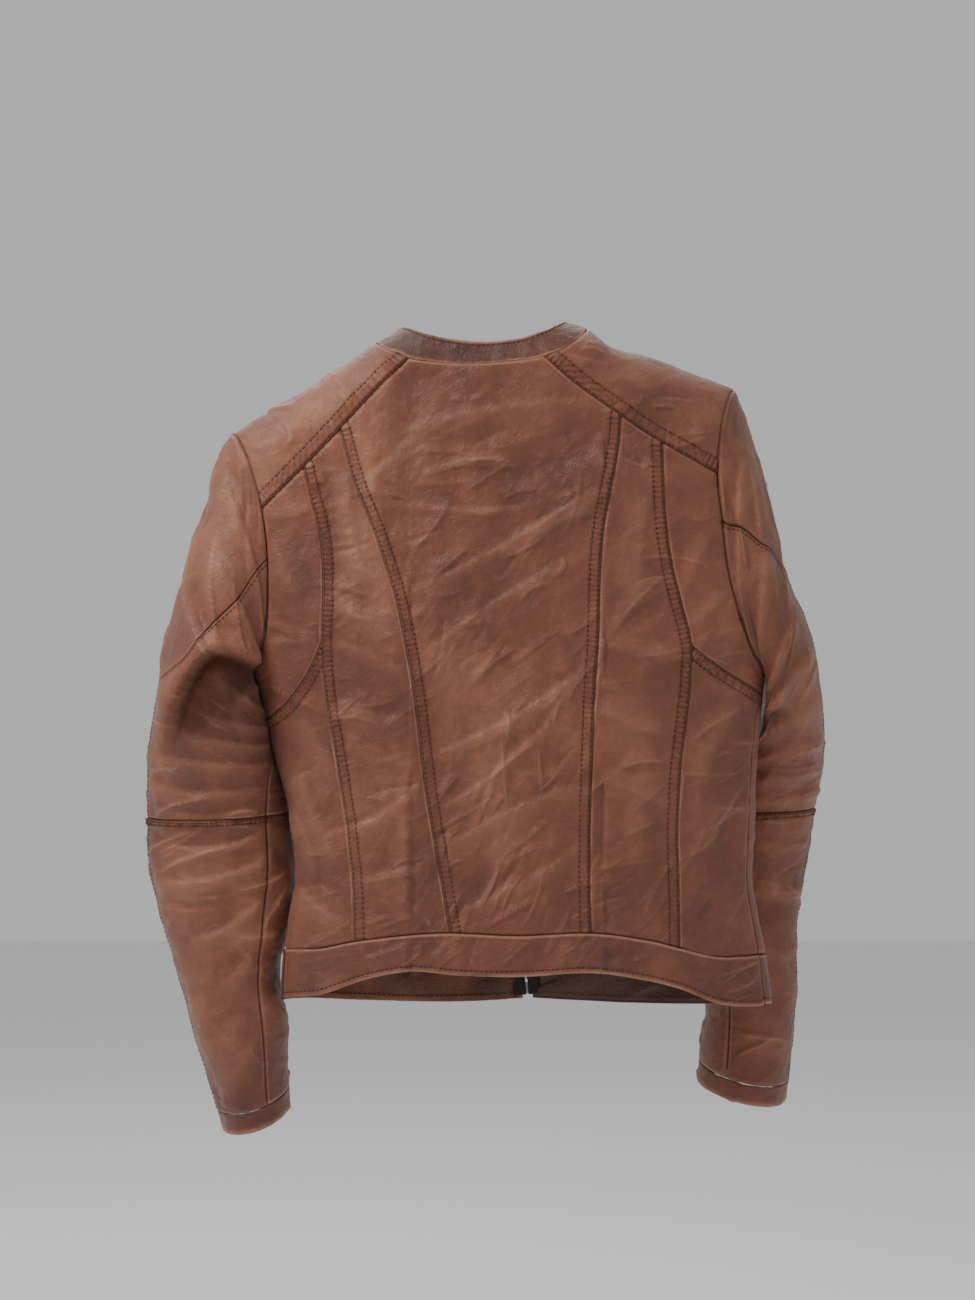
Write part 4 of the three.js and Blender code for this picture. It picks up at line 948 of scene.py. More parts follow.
def leather_material(name="cognac_leather_worn"):
    material, tree, shader = node_material(name)
    link = tree.links.new
    place = add_node(tree, "ShaderNodeTexCoord").outputs["Object"]
    tone = add_node(tree, "ShaderNodeAttribute", attribute_name="tone").outputs["Fac"]
    wear = add_node(tree, "ShaderNodeAttribute", attribute_name="wear").outputs["Fac"]
    groove = add_node(tree, "ShaderNodeAttribute", attribute_name="groove").outputs["Fac"]
    inside = add_node(tree, "ShaderNodeAttribute", attribute_name="inside").outputs["Fac"]

    def noise_at(scale, detail=4.0, rough=0.55, distortion=0.0):
        node = add_node(tree, "ShaderNodeTexNoise", {"Scale": scale, "Detail": detail,
                                                     "Roughness": rough,
                                                     "Distortion": distortion})
        link(place, node.inputs["Vector"])
        return node.outputs["Fac"]

    mottle = noise_at(26, 5, 0.6, 0.6)
    fine = noise_at(190, 4, 0.6)
    # The tone channel sets the colour from dark to pale tan: the hide's own tone, and painted
    # light and shade from the spots, from fold height, in the hollow under the upper-arm roll
    # and on the collar.
    level = math_node(tree, "MULTIPLY_ADD", tone, 0.26)
    tree.nodes[-1].inputs[2].default_value = 0.46
    spread = math_node(tree, "MULTIPLY_ADD", mottle, 0.7)
    tree.nodes[-1].inputs[2].default_value = -0.35
    speck = math_node(tree, "MULTIPLY_ADD", fine, 0.22)
    tree.nodes[-1].inputs[2].default_value = -0.11
    level = math_node(tree, "ADD", level, math_node(tree, "ADD", spread, speck), True)
    base = ramp(tree, [(0.0, DARK_TAN), (0.45, MID_TAN), (1.0, PALE_TAN)])
    link(level, base.inputs["Fac"])
    scuff = noise_at(420, 3, 0.7)
    # The wear channel holds real wear along seams, edges and the cuff, and on the body and
    # sleeves also painted highlights along crease crests and raised folds; both mix toward the
    # pale tan.
    worn_and_highlit = math_node(tree, "MULTIPLY", wear, math_node(tree, "ADD", scuff, 0.35), True)
    colour = mix_colour(tree, "MIX", worn_and_highlit, base.outputs["Color"], WORN_AND_HIGHLIGHT_TAN)
    # The groove channel darkens toward the seam brown and lowers the specular: dark seam joints,
    # with painted shade in seam recesses and pucker valleys, under the upper-arm roll and on the
    # collar facing.
    dark = math_node(tree, "MULTIPLY", groove, 0.6, True)
    colour = mix_colour(tree, "MIX", dark, colour, SEAM_BROWN_AND_SHADE)
    suede = mix_colour(tree, "MIX", inside, colour, (0.085, 0.032, 0.018))
    link(suede, shader.inputs["Base Color"])

    rough = math_node(tree, "MULTIPLY_ADD", mottle, 0.22)
    tree.nodes[-1].inputs[2].default_value = 0.36
    link(rough, shader.inputs["Roughness"])
    shine = math_node(tree, "MULTIPLY_ADD", groove, -0.4)
    tree.nodes[-1].inputs[2].default_value = 0.42
    link(shine, shader.inputs["Specular IOR Level"])
    shader.inputs["Sheen Weight"].default_value = 0.12
    shader.inputs["Sheen Roughness"].default_value = 0.6

    grain = add_node(tree, "ShaderNodeTexVoronoi", {"Scale": 720.0}, feature="DISTANCE_TO_EDGE")
    link(place, grain.inputs["Vector"])
    pebble = math_node(tree, "MULTIPLY", grain.outputs["Distance"], 0.8, True)
    wrinkle = add_node(tree, "ShaderNodeTexNoise", {"Scale": 95.0, "Detail": 6.0,
                                                    "Roughness": 0.62, "Distortion": 1.4})
    link(place, wrinkle.inputs["Vector"])
    fold = math_node(tree, "ABSOLUTE", math_node(tree, "SUBTRACT", wrinkle.outputs["Fac"], 0.5))
    fold = math_node(tree, "MULTIPLY", fold, 2.4)
    relief = math_node(tree, "ADD", math_node(tree, "MULTIPLY", pebble, 0.35), fold)
    push = add_node(tree, "ShaderNodeBump", {"Strength": 0.6, "Distance": 0.0012})
    link(relief, push.inputs["Height"])
    link(push.outputs["Normal"], shader.inputs["Normal"])
    return material


def texture(tree, kind, inputs, **settings):
    """A texture that moves with the piece: its value output."""
    node = add_node(tree, kind, inputs, **settings)
    place = add_node(tree, "ShaderNodeTexCoord")
    tree.links.new(place.outputs["Object"], node.inputs["Vector"])
    return node.outputs["Fac"]


def tint(tree, shader, value, *stops):
    """Base colour, by a texture's value."""
    node = ramp(tree, stops)
    tree.links.new(value, node.inputs["Fac"])
    tree.links.new(node.outputs["Color"], shader.inputs["Base Color"])


def emboss(tree, shader, value, strength):
    """Fine relief of woven cloth, by a texture's value."""
    push = add_node(tree, "ShaderNodeBump", {"Strength": strength, "Distance": 0.0002})
    tree.links.new(value, push.inputs["Height"])
    tree.links.new(push.outputs["Normal"], shader.inputs["Normal"])


def thread_material():
    material, tree, shader = node_material("seam_thread")
    fibre = texture(tree, "ShaderNodeTexNoise", {"Scale": 900.0, "Detail": 3.0})
    tint(tree, shader, fibre, (0.3, (0.028, 0.006, 0.004)), (0.7, (0.065, 0.014, 0.009)))
    shader.inputs["Roughness"].default_value = 0.6
    return material


def lining_material():
    material, tree, shader = node_material("lining_satin")
    weave = texture(tree, "ShaderNodeTexWave", {"Scale": 900.0, "Distortion": 0.4},
                    bands_direction="DIAGONAL")
    cloud = texture(tree, "ShaderNodeTexNoise", {"Scale": 30.0, "Detail": 3.0})
    tint(tree, shader, cloud, (0.3, (0.020, 0.011, 0.008)), (0.7, (0.042, 0.024, 0.017)))
    shader.inputs["Roughness"].default_value = 0.42
    shader.inputs["Sheen Weight"].default_value = 0.3
    emboss(tree, shader, weave, 0.15)
    return material


def tape_material():
    material, tree, shader = node_material("zip_tape_woven")
    weave = texture(tree, "ShaderNodeTexWave", {"Scale": 1400.0, "Distortion": 0.2})
    tint(tree, shader, weave, (0.2, (0.012, 0.008, 0.007)), (0.8, (0.035, 0.024, 0.020)))
    shader.inputs["Roughness"].default_value = 0.85
    emboss(tree, shader, weave, 0.4)
    return material


def metal_material():
    material, tree, shader = node_material("zip_metal_worn")
    scratch = texture(tree, "ShaderNodeTexNoise", {"Scale": 600.0, "Detail": 5.0})
    tint(tree, shader, scratch, (0.3, (0.16, 0.145, 0.125)), (0.75, (0.36, 0.33, 0.29)))
    shader.inputs["Metallic"].default_value = 0.9
    gloss = add_node(tree, "ShaderNodeMath", {1: 0.3, 2: 0.25}, operation="MULTIPLY_ADD")
    tree.links.new(scratch, gloss.inputs[0])
    tree.links.new(gloss.outputs[0], shader.inputs["Roughness"])
    return material


LEATHER_SKIN = leather_material()
THREAD = thread_material()
LINING_CLOTH = lining_material()
TAPE = tape_material()
METAL = metal_material()

# ------------------------------------------------------------------ body panels

DOUBLE = (1.7, 8.6)
YOKE_ROWS = (1.8, 10.8)
TOP_X = {"left": (118, 148), "right": (-114, -148)}
LOW_X = {"left": (27, 106), "right": (-89, -163)}
CORNER_X = {"left": 61, "right": -50}
YOKE_LEVEL = {"left": -125, "right": -96}


def body_run(*lines):
    return run(body_point, *lines)


def at_x(line, x):
    return nearest(line, 0, x)


def at_height(line, z):
    return nearest(line, 1, z)


def armhole_cut(side, level, front):
    t = np.linspace(0.5, 1, 801) if front else np.linspace(0, 0.5, 801)
    heights = shoulder_spot(ARMHOLE[side](t))[:, 1]
    return float(t[np.argmin(np.abs(heights - level))])


def back_centre():
    cuts = {side: at_x(YOKE_BACK[side], TOP_X[side][0]) for side in SIGN}
    neck = [at_x(NECK_BACK, CORNER_X[side]) for side in ("left", "right")]
    top = body_run(turned(part(YOKE_BACK["left"], cuts["left"], 0), "back"),
                   turned(part(NECK_BACK, *neck), "back"),
                   turned(part(YOKE_BACK["right"], 0, cuts["right"]), "back"))
    low = [at_x(BAND_TOP_BACK, LOW_X[side][0]) for side in ("left", "right")]
    bottom = body_run(turned(part(BAND_TOP_BACK, *low), "back"))
    left = body_run(turned(INNER_BACK["left"], "back"))
    right = body_run(turned(INNER_BACK["right"], "back"))
    seams = {"top": ("under", ()), "bottom": ("plain", ()), "left": ("over", DOUBLE),
             "right": ("over", DOUBLE)}
    leather_panel("back_center_panel", (top, bottom, left, right), seams)


def back_mid(side):
    yoke, band = YOKE_BACK[side], BAND_TOP_BACK
    top = body_run(turned(part(yoke, *(at_x(yoke, x) for x in TOP_X[side])), "back"))
    bottom = body_run(turned(part(band, *(at_x(band, x) for x in LOW_X[side])), "back"))
    left = body_run(turned(INNER_BACK[side], "back"))
    right = body_run(turned(OUTER_BACK[side], "back"))
    seams = {"top": ("under", ()), "bottom": ("plain", ()), "left": ("under", ()),
             "right": ("over", DOUBLE)}
    leather_panel(f"back_mid_panel_{side}", (top, bottom, left, right), seams)


def back_armhole(side):
    yoke = YOKE_BACK[side]
    top = body_run(turned(part(yoke, at_x(yoke, TOP_X[side][1]), 1), "back"))
    meet = at_height(OUTER_BACK[side], ARM_CURVE[side](0)[0, 1])
    left = body_run(turned(part(OUTER_BACK[side], 0, meet), "back"))
    start = armhole_cut(side, YOKE_LEVEL[side], False)
    level = float(ARM_CURVE[side](1)[0, 1])
    right = body_run(part(armhole_turned(side, "back"), start, 0),
                     side_seam(side, ARMPIT[side], level))
    bottom = body_run(turned(ARM_CURVE[side], "back"))
    seams = {"top": ("under", ()), "bottom": ("under", ()), "left": ("under", ()),
             "right": ("plain", ())}
    leather_panel(f"back_armhole_panel_{side}", (top, bottom, left, right), seams, relaxed=True)


def back_side(side):
    meet = at_height(OUTER_BACK[side], ARM_CURVE[side](0)[0, 1])
    level = float(ARM_CURVE[side](1)[0, 1])
    end = 0 if side == "left" else 1
    low = float(BAND_TOP_BACK(end)[0, 1])
    top = body_run(turned(ARM_CURVE[side], "back"))
    left = body_run(turned(part(OUTER_BACK[side], meet, 1), "back"))
    right = body_run(side_seam(side, level, low))
    band = part(BAND_TOP_BACK, at_x(BAND_TOP_BACK, LOW_X[side][1]), end)
    bottom = body_run(turned(band, "back"))
    seams = {"top": ("over", DOUBLE), "bottom": ("plain", ()), "left": ("under", ()),
             "right": ("plain", ())}
    leather_panel(f"back_side_panel_{side}", (top, bottom, left, right), seams)


def yoke_panel(side):
    point = shoulder_point
    end = 0 if side == "left" else 1
    neck_cut = at_x(NECK_BACK, CORNER_X[side])
    front_cut = at_x(NECK_FRONT[side], 76 if side == "left" else -75)
    neck = run(point, shouldered(part(NECK_BACK, neck_cut, end), "back"),
               shouldered(part(NECK_FRONT[side], 0, front_cut), side))
    start = armhole_cut(side, YOKE_LEVEL[side], False)
    stop = armhole_cut(side, float(YOKE_FRONT[side](1)[0, 1]), True)
    arm = run(point, part(ARMHOLE[side], start, stop))
    back = run(point, shouldered(YOKE_BACK[side], "back"))
    front = run(point, shouldered(YOKE_FRONT[side], side))
    seams = {"top": ("over", YOKE_ROWS), "bottom": ("over", YOKE_ROWS),
             "left": ("plain", ()), "right": ("plain", ())}
    leather_panel(f"shoulder_yoke_{side}", (back, front, neck, arm),
                  seams, "back", point, SHOULDER_STEP)


def zip_edge(side, reach, high, low):
    def at(t):
        z = high + (low - high) * np.atleast_1d(t)
        return np.stack([angle_of(zip_x(z) + SIGN[side] * reach, z, side), z], axis=-1)

    return at


BAND_CUT = {"left": 71, "right": -122}
FRONT_YOKE_CUT = {"left": 112, "right": -112}


def front_panel(side):
    neck_cut = at_x(NECK_FRONT[side], 76 if side == "left" else -75)
    yoke_cut = at_x(YOKE_FRONT[side], FRONT_YOKE_CUT[side])
    high = float(NECK_FRONT[side](1)[0, 1])
    low = float(BAND_TOP_FRONT[side](1)[0, 1])
    top = body_run(turned(part(NECK_FRONT[side], 1, neck_cut), side),
                   turned(part(YOKE_FRONT[side], 0, yoke_cut), side))
    band = part(BAND_TOP_FRONT[side], 1, at_x(BAND_TOP_FRONT[side], BAND_CUT[side]))
    bottom = body_run(turned(band, side))
    left = body_run(zip_edge(side, FRONT_EDGE, high, low))
    right = body_run(turned(FRONT_PRINCESS[side], side))
    seams = {"top": ("under", ()), "bottom": ("plain", ()), "left": ("edge", (6.0,)),
             "right": ("over", DOUBLE)}
    leather_panel(f"front_panel_{side}", (top, bottom, left, right), seams, "front")


def front_side(side):
    yoke_cut = at_x(YOKE_FRONT[side], FRONT_YOKE_CUT[side])
    top = body_run(turned(part(YOKE_FRONT[side], yoke_cut, 1), side))
    left = body_run(turned(FRONT_PRINCESS[side], side))
    start = armhole_cut(side, float(YOKE_FRONT[side](1)[0, 1]), True)
    low = float(BAND_TOP_FRONT[side](0)[0, 1])
    right = body_run(part(armhole_turned(side, side), start, 1),
                     side_seam(side, ARMPIT[side], low))
    band = part(BAND_TOP_FRONT[side], at_x(BAND_TOP_FRONT[side], BAND_CUT[side]), 0)
    bottom = body_run(turned(band, side))
    seams = {"top": ("under", ()), "bottom": ("plain", ()), "left": ("under", ()),
             "right": ("plain", ())}
    leather_panel(f"front_side_panel_{side}", (top, bottom, left, right), seams, "front")


def waistband_back():
    high = [float(BAND_TOP_BACK(end)[0, 1]) for end in (0, 1)]
    low = [float(HEM_BACK(end)[0, 1]) for end in (0, 1)]
    corners = {"left": (0, high[0], low[0]), "right": (1, high[1], low[1])}

    def ended(line):
        def at(t):
            spots = turned(line, "back")(t)
            for side, (end, _, _) in corners.items():
                near = smooth_step(1 - np.abs(np.atleast_1d(t) - end) * 12)
                lean = math.radians(SIDE_SEAMS[side]) * SIGN[side]
                spots[:, 0] += (lean - spots[:, 0]) * near
            return spots

        return at

    top = body_run(ended(BAND_TOP_BACK))
    bottom = body_run(ended(HEM_BACK))
    left = body_run(side_seam("left", *corners["left"][1:]))
    right = body_run(side_seam("right", *corners["right"][1:]))
    seams = {"top": ("piped", ()), "bottom": ("edge", (4.5,)), "left": ("plain", ()),
             "right": ("plain", ())}
    leather_panel("waistband_back", (top, bottom, left, right), seams, thickness=LEATHER * 2)


def waistband_front(side):
    edge = zip_edge(side, FRONT_EDGE, float(BAND_TOP_FRONT[side](1)[0, 1]),
                    float(HEM_FRONT[side](1)[0, 1]))
    seam = side_seam(side, float(BAND_TOP_FRONT[side](0)[0, 1]),
                     float(HEM_FRONT[side](0)[0, 1]))

    def ended(line, end):
        def at(t):
            spots = turned(line, side)(t)
            near = smooth_step(1 - np.abs(np.atleast_1d(t) - 1) * 8)
            spots[:, 0] += (seam(end)[0, 0] - spots[:, 0]) * near
            return spots

        return at

    top = body_run(ended(part(BAND_TOP_FRONT[side], 1, 0), 0))
    bottom = body_run(ended(part(HEM_FRONT[side], 1, 0), 1))
    seams = {"top": ("piped", ()), "bottom": ("edge", (4.5,)), "left": ("edge", (6.0,)),
             "right": ("plain", ())}
    leather_panel(f"waistband_front_{side}", (top, bottom, body_run(edge), body_run(seam)),
                  seams, "front")


back_centre()
for side in SIGN:
    back_mid(side)
    back_armhole(side)
    back_side(side)
    yoke_panel(side)
    front_panel(side)
    front_side(side)
    waistband_front(side)
waistband_back()


# ------------------------------------------------------------------ sleeves

SLEEVES = {
    "left": [
        (210, -61, 196, -262, 0.66, 0, 0), (223, -85, 193, -270, 0.72, 0, 0),
        (239, -134, 187, -282, 0.85, -2, 0), (255, -190, 181, -296, 0.96, -5, 0),
        (267, -237, 177, -312, 1.0, -8, 0), (277, -288, 174.5, -330, 0.98, -12, 0),
        (283, -335, 167.5, -352, 0.88, -16, 2), (284, -383, 161, -378, 0.76, -19, 3),
        (283, -422, 158, -420, 0.72, -21, 3), (272, -468, 163, -462, 0.7, -23, 3),
        (256, -526, 169, -512, 0.7, -25, 4), (238, -590, 165, -572, 0.69, -27, 6),
        (222, -645, 163, -629, 0.66, -28, 9)],
    "right": [
        (-210, -24, -239, -267, 0.66, 0, 0), (-224, -48, -241.5, -272, 0.72, -2, 0),
        (-243, -118, -240, -283, 0.85, -9, 0), (-260, -183, -237, -297, 0.92, -20, 0),
        (-277, -222, -231, -315, 0.94, -34, 0), (-290, -284, -222, -336, 0.86, -56, 0),
        (-293, -330, -215, -356, 0.8, -72, 1), (-288, -378, -198, -380, 0.72, -86, 2),
        (-284, -418, -189, -421, 0.68, -92, 2), (-276, -462, -189, -462, 0.67, -97, 3),
        (-273, -516, -194, -510, 0.67, -99, 4), (-272, -575, -193, -562, 0.67, -100, 6),
        (-265, -632, -188, -616, 0.66, -101, 9)],
}
ELBOW_ROW = 7
SLEEVE_ROWS = 12
ARMHOLE_FADE = 3
SIDE_NUDGE = 0.25


def sleeve_keys(side, row):
    rows = np.array(SLEEVES[side], float)
    rows[:, 4] *= SLEEVE_DEPTH
    return [hermite(np.arange(len(rows)), lane, row) for lane in rows.T]


def ring_centre(side, row):
    """The middle of the sleeve at one row."""
    ox, oz, ix, iz, _, y, _ = (float(v[0]) for v in sleeve_keys(side, np.array([row])))
    return np.array([(ox + ix) / 2, y, (oz + iz) / 2])


def ring_line(side):
    fine = shoulder_point(ARMHOLE[side](np.linspace(0, 1, 401)))
    reach = np.concatenate([[0], np.cumsum(np.linalg.norm(np.diff(fine, axis=0), axis=1))])
    return fine, reach


RINGS = {side: ring_line(side) for side in SIGN}


def armhole_ring(side, turn):
    fine, reach = RINGS[side]
    tip, total = reach[200], reach[400]
    share = turn / np.pi
    where = np.where(share >= 0, tip * (1 - share), tip - (total - tip) * share)
    spot = np.stack([np.interp(where, reach, lane) for lane in fine.T], axis=-1)
    up = np.cos(turn)
    spot[..., 0] += SIGN[side] * SLEEVE_GAP * (1 + np.maximum(0.9 * up, -0.8 * up))
    return spot


def sleeve_surface(side):
    def at(spots):
        row, turn = spots[..., 0], spots[..., 1]
        ox, oz, ix, iz, deep, y, drop = sleeve_keys(side, row)
        c, s = np.cos(turn), np.sin(turn)
        tube = np.stack([(ox + ix) / 2 + (ox - ix) / 2 * c, y + deep * s,
                         (oz + iz) / 2 + (oz - iz) / 2 * c - drop * s], axis=-1)
        mix = smooth_step(row / ARMHOLE_FADE)[..., None]
        ring = armhole_ring(side, np.arctan2(s, c))
        return ring + (tube - ring) * mix

    return at


BACK_SEAM_TURN = {
    "left": table([(0, 96), (1, 98), (2, 94), (3, 72), (4, 52), (4.5, 26), (5, 14), (7, 12),
                   (12, 12)]),
    "right": table([(0, 84), (1, 85), (2, 68), (2.6, 40), (3, 20), (4, 13), (7, 12),
                    (12, 12)]),
}
INNER_SEAM_TURN = table([(0, 172), (3, 170), (5, 162), (6, 144), (7, 133), (8, 131),
                         (10, 125), (12, 118)])

# Listed sleeve folds: row, turn in degrees at both ends; height; half width.
SLEEVE_FOLDS = {
    "left": [
        (0.5, 150, 1.6, 30, 2.0, 8), (1.2, 168, 2.2, 60, 2.4, 10), (1.9, 175, 3.0, 80, 2.6, 10),
        (2.8, 170, 3.8, 70, 2.2, 9), (3.6, 168, 4.8, 90, 2.0, 9), (4.6, 160, 5.4, 60, 2.4, 8),
        (5.4, 150, 5.9, 20, 2.0, 7), (6.2, 140, 6.4, 30, 1.8, 6), (6.7, 128, 6.8, 40, 1.4, 5),
        (7.3, 130, 7.6, 50, 1.8, 6), (7.9, 128, 8.3, 30, 1.8, 7), (8.7, 126, 9.3, 60, 1.5, 7),
        (9.6, 122, 10.2, 30, 1.4, 8), (10.7, 118, 11.2, 40, 1.2, 8), (2.2, 20, 3.4, 70, 1.4, 9),
        (3.6, -10, 4.6, 40, 1.6, 9), (0.4, 20, 1.3, 60, 1.2, 6), (5.0, -30, 6.0, -100, 2.0, 9),
        (6.2, -20, 6.6, -110, 2.0, 8), (7.4, -30, 8.0, -120, 1.6, 8),
        (3.0, -60, 4.2, -150, 2.0, 10), (9.0, -40, 9.8, -130, 1.4, 9)],
    "right": [
        (0.5, 150, 1.5, 40, 1.8, 8), (1.3, 165, 2.2, 60, 2.0, 9), (2.2, 170, 3.2, 50, 2.2, 9),
        (3.2, 168, 4.2, 40, 2.4, 9), (4.2, 165, 4.9, 30, 2.6, 9), (5.0, 158, 5.6, 20, 2.4, 8),
        (5.8, 145, 6.2, 10, 2.2, 7), (6.5, 135, 6.6, 20, 1.8, 6), (7.4, 128, 7.7, 30, 1.8, 6),
        (8.2, 126, 8.7, 20, 1.6, 7), (9.1, 122, 9.8, 40, 1.5, 8), (10.2, 118, 10.9, 20, 1.2, 8),
        (1.8, 10, 3.0, 60, 1.4, 9), (3.4, -10, 4.4, -80, 2.0, 10), (5.0, -20, 5.8, -110, 2.2, 9),
        (6.2, -20, 6.6, -100, 2.0, 8), (7.6, -30, 8.2, -120, 1.6, 8),
        (9.4, -40, 10.2, -130, 1.2, 9)],
}


SLEEVE_CREASES = {
    side: creases_on(seed, 190, (-190, 190), (0, 560), lambda x, z: np.interp(
        z, [0, 140, 320, 560], [-32, -26, 4, -14]) * (1 if x > 0 else -1),
        lambda x, z: 0.7 + 0.8 * math.exp(-((z - 325) / 75) ** 2), (14, 70), (0.4, 1.9))
    for side, seed in (("left", 21), ("right", 34))
}


# The hollow under the upper-arm roll is sunk and darkened with painted shade: where it ends, how
# it fades, and how much painted shade it adds to the tone and the groove channel.
HOLLOW_END = -392.0
HOLLOW_FADE = 105.0
PAINTED_HOLLOW_SHADE_TONE = 1.5
PAINTED_HOLLOW_SHADE_GROOVE = {"left": 0.95, "right": 0.4}

# The edge of the upper-arm roll that hangs over the armpit, in x and z, by side;
# then how far the roll stands up, how deep the hollow goes, and how far down it reaches.
ROLLS = {
    "left": ([(178, -262), (190, -252), (206, -244), (224, -243), (240, -258), (252, -286),
              (262, -322), (268, -352)], 6.0, 5.5, 40.0),
    "right": ([(-232, -300), (-240, -292), (-250, -290), (-262, -300), (-272, -322)],
              2.5, 4.0, 26.0),
}


def arm_roll(side, base, turn):
    """A rounded roll above an edge line and a hollow under it, on the back only; the second
    value is the mask of the shade painted into the hollow.
    """
    edge, rise, sink, reach = ROLLS[side]
    line = np.array([(x, 0.0, z) for x, z in edge])
    fine = curve(line)(np.linspace(0, 1, 40))
    flat = base * np.array([1.0, 0.0, 1.0])
    d, along = line_distance(flat, fine)
    where = np.interp(flat[..., 0] * SIGN[side], fine[:, 0] * SIGN[side], fine[:, 2])
    under = flat[..., 2] < where
    total = float(np.linalg.norm(np.diff(fine, axis=0), axis=1).sum())
    fade = smooth_step(along / 14 + 0.4) * smooth_step((total - along) / 70)
    facing = smooth_step(np.sin(turn) * 2.5 + 0.3)
    low = smooth_step((flat[..., 2] - HOLLOW_END) / HOLLOW_FADE)
    hollow = smooth_step(d / 6) * np.exp(-(d / reach) ** 2) * under * low
    roll = bump(d - 5, 10) * ~under
    return (rise * roll - sink * hollow) * fade * facing, hollow * fade * facing


def sleeve_drape(side, base, spots):
    """Soft folds that run round the sleeve, closest together at the elbow."""
    row, turn = spots[..., 0], spots[..., 1]
    lean = np.interp(row, [0, 3, 7, 12], [-30, -35, -8, -20]) * SIGN[side]
    elbow = bump(row - ELBOW_ROW, 1.7)
    slant = slanted(base, lean, 2.2)
    soft = noise(slanted(base, lean, 1.5) / 38 + 5) * 2.6 + noise(slant / 20 + 2) * 1.4
    fine = ridged(slant + 71, 9.5, 1.5)
    tiny = ridged(base + 20, 5.2, 1.3)
    wrapped = np.angle(np.exp(1j * turn))
    strokes, crest_highlight = crease_heights(wrapped * 58, row * 46, SLEEVE_CREASES[side])
    total = soft + strokes * 1.2 + (fine - 0.4) * (0.7 + 0.5 * elbow) + (tiny - 0.4) * 0.28
    laid = np.zeros(row.shape)
    for r0, t0, r1, t1, height, width in SLEEVE_FOLDS[side]:
        ends = np.radians(np.array([t0, t1]))
        lean = np.angle(np.exp(1j * (turn - ends.mean())))
        half = (ends[1] - ends[0]) / 2
        s = lean / half
        level = (r0 + r1) / 2 + (r1 - r0) / 2 * np.clip(s, -1.4, 1.4)
        level = level + 0.18 * (1 - np.clip(s, -1, 1) ** 2)
        d = (row - level) * 46
        reach = smooth_step((1.25 - np.abs(s)) / 0.5)
        sharp = np.where(d > 0, bump(d, width * 1.5), bump(d, width * 0.6))
        laid = laid + height * reach * sharp
    roll, shade = arm_roll(side, base, turn)
    # Mask of crests and raised folds for painted highlights, kept out of the painted shade of
    # the hollow.
    crest_highlight = np.clip(crest_highlight * 0.28 + 0.07 * np.clip(laid, 0, 3), 0, 1)
    height = total * (1 - 0.5 * shade) + laid * 1.35 * (1 - 0.8 * shade) + roll
    return height, crest_highlight * (1 - shade)


def sleeve_panel(name, side, rows, start, end, seams, bodies):
    point = sleeve_surface(side)
    mid = 0.5 * (rows[0] + rows[1])
    span = lambda a, b: np.linalg.norm(np.diff(point(np.stack([a, b], axis=-1)), axis=0),
                                       axis=1).sum()
    turns = np.radians(np.linspace(start(mid), end(mid), 60))
    width = span(np.full(60, mid), turns)
    middle_turn = turns[30]
    height = max(span(np.linspace(*rows, 60), np.full(60, turn))
                 for turn in (middle_turn, turns[0], turns[-1]))
    s = spaced(width, ("left" in seams, "right" in seams))
    t = spaced(height, ("top" in seams, "bottom" in seams), coarse=SLEEVE_TICK)
    row = rows[0] + (rows[1] - rows[0]) * t
    a, b = np.radians(start(row)), np.radians(end(row))
    turn = a[:, None] + (b - a)[:, None] * s[None]
    spots = np.stack([np.repeat(row[:, None], len(s), 1), turn], axis=-1)
    base = point(spots)
    centre = ring_centre(side, mid)
    normals = outward(base, surface_normals(spots, point, (0.01, 0.01)), centre)
    relief, wear, groove, distances = seam_relief(base, seams)
    quiet = smooth_step(row / 0.8)[:, None] * np.ones(base.shape[:2]) * 0.75 + 0.25
    for d in distances.values():
        quiet = quiet * (1 - 0.4 * bump(d, 8))
    inward = np.abs(np.angle(np.exp(1j * (turn - np.pi))))
    close = smooth_step((7.5 - row) / 1.5)[:, None]
    quiet = quiet * (1 - 0.85 * bump(inward, 0.55) * close)
    height, crest_highlight = sleeve_drape(side, base, spots)
    grid = base + normals * (height * quiet + relief)[..., None]
    shade = arm_roll(side, base, turn)[1]
    # Painted light and shade: raised leather is made paler and the valleys between folds darker.
    tone = tone_map(base, "sleeve") + 0.12 * np.clip(height, -3.5, 3.5)
    # Painted shade: the hollow under the upper-arm roll is made darker in tone and in the groove
    # channel.
    tone = tone - PAINTED_HOLLOW_SHADE_TONE * shade
    groove = np.clip(groove + PAINTED_HOLLOW_SHADE_GROOVE[side] * shade, 0, 1)
    # Painted highlight: the crease crests and raised folds go into the wear channel with the
    # real seam wear, so both are lightened toward the pale tan.
    wear = np.clip(wear + crest_highlight * quiet, 0, 1)
    attributes = {"wear": wear, "groove": groove, "tone": tone}
    obj = shell_object(name, grid, LEATHER_SKIN, LEATHER, attributes, centre=centre)
    up = outward(grid, grid_normals(grid), centre)
    stitched = seam_rows(seams, grid, up, distances)
    if stitched:
        vertices, faces = stitches(stitched)
        threads = new_object(f"{name}_stitching", vertices, faces, THREAD)
        sleeve_motion(threads, side, bodies)
    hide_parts(name)
    sleeve_motion(obj, side, bodies)
    return obj


def row_point(side, row):
    return tuple(ring_centre(side, row) * MM)


def sleeve_motion(obj, side, bodies):
    """The upper sleeve is attached to its upper-sleeve body and rides stiffly; the lower one has
    its transform baked into its mesh.
    """
    if bodies == "upper":
        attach(obj, f"upper_sleeve_{side}")
    else:
        row_point(side, ELBOW_ROW)
        row_point(side, ELBOW_ROW + 1.0)
        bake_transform(obj)


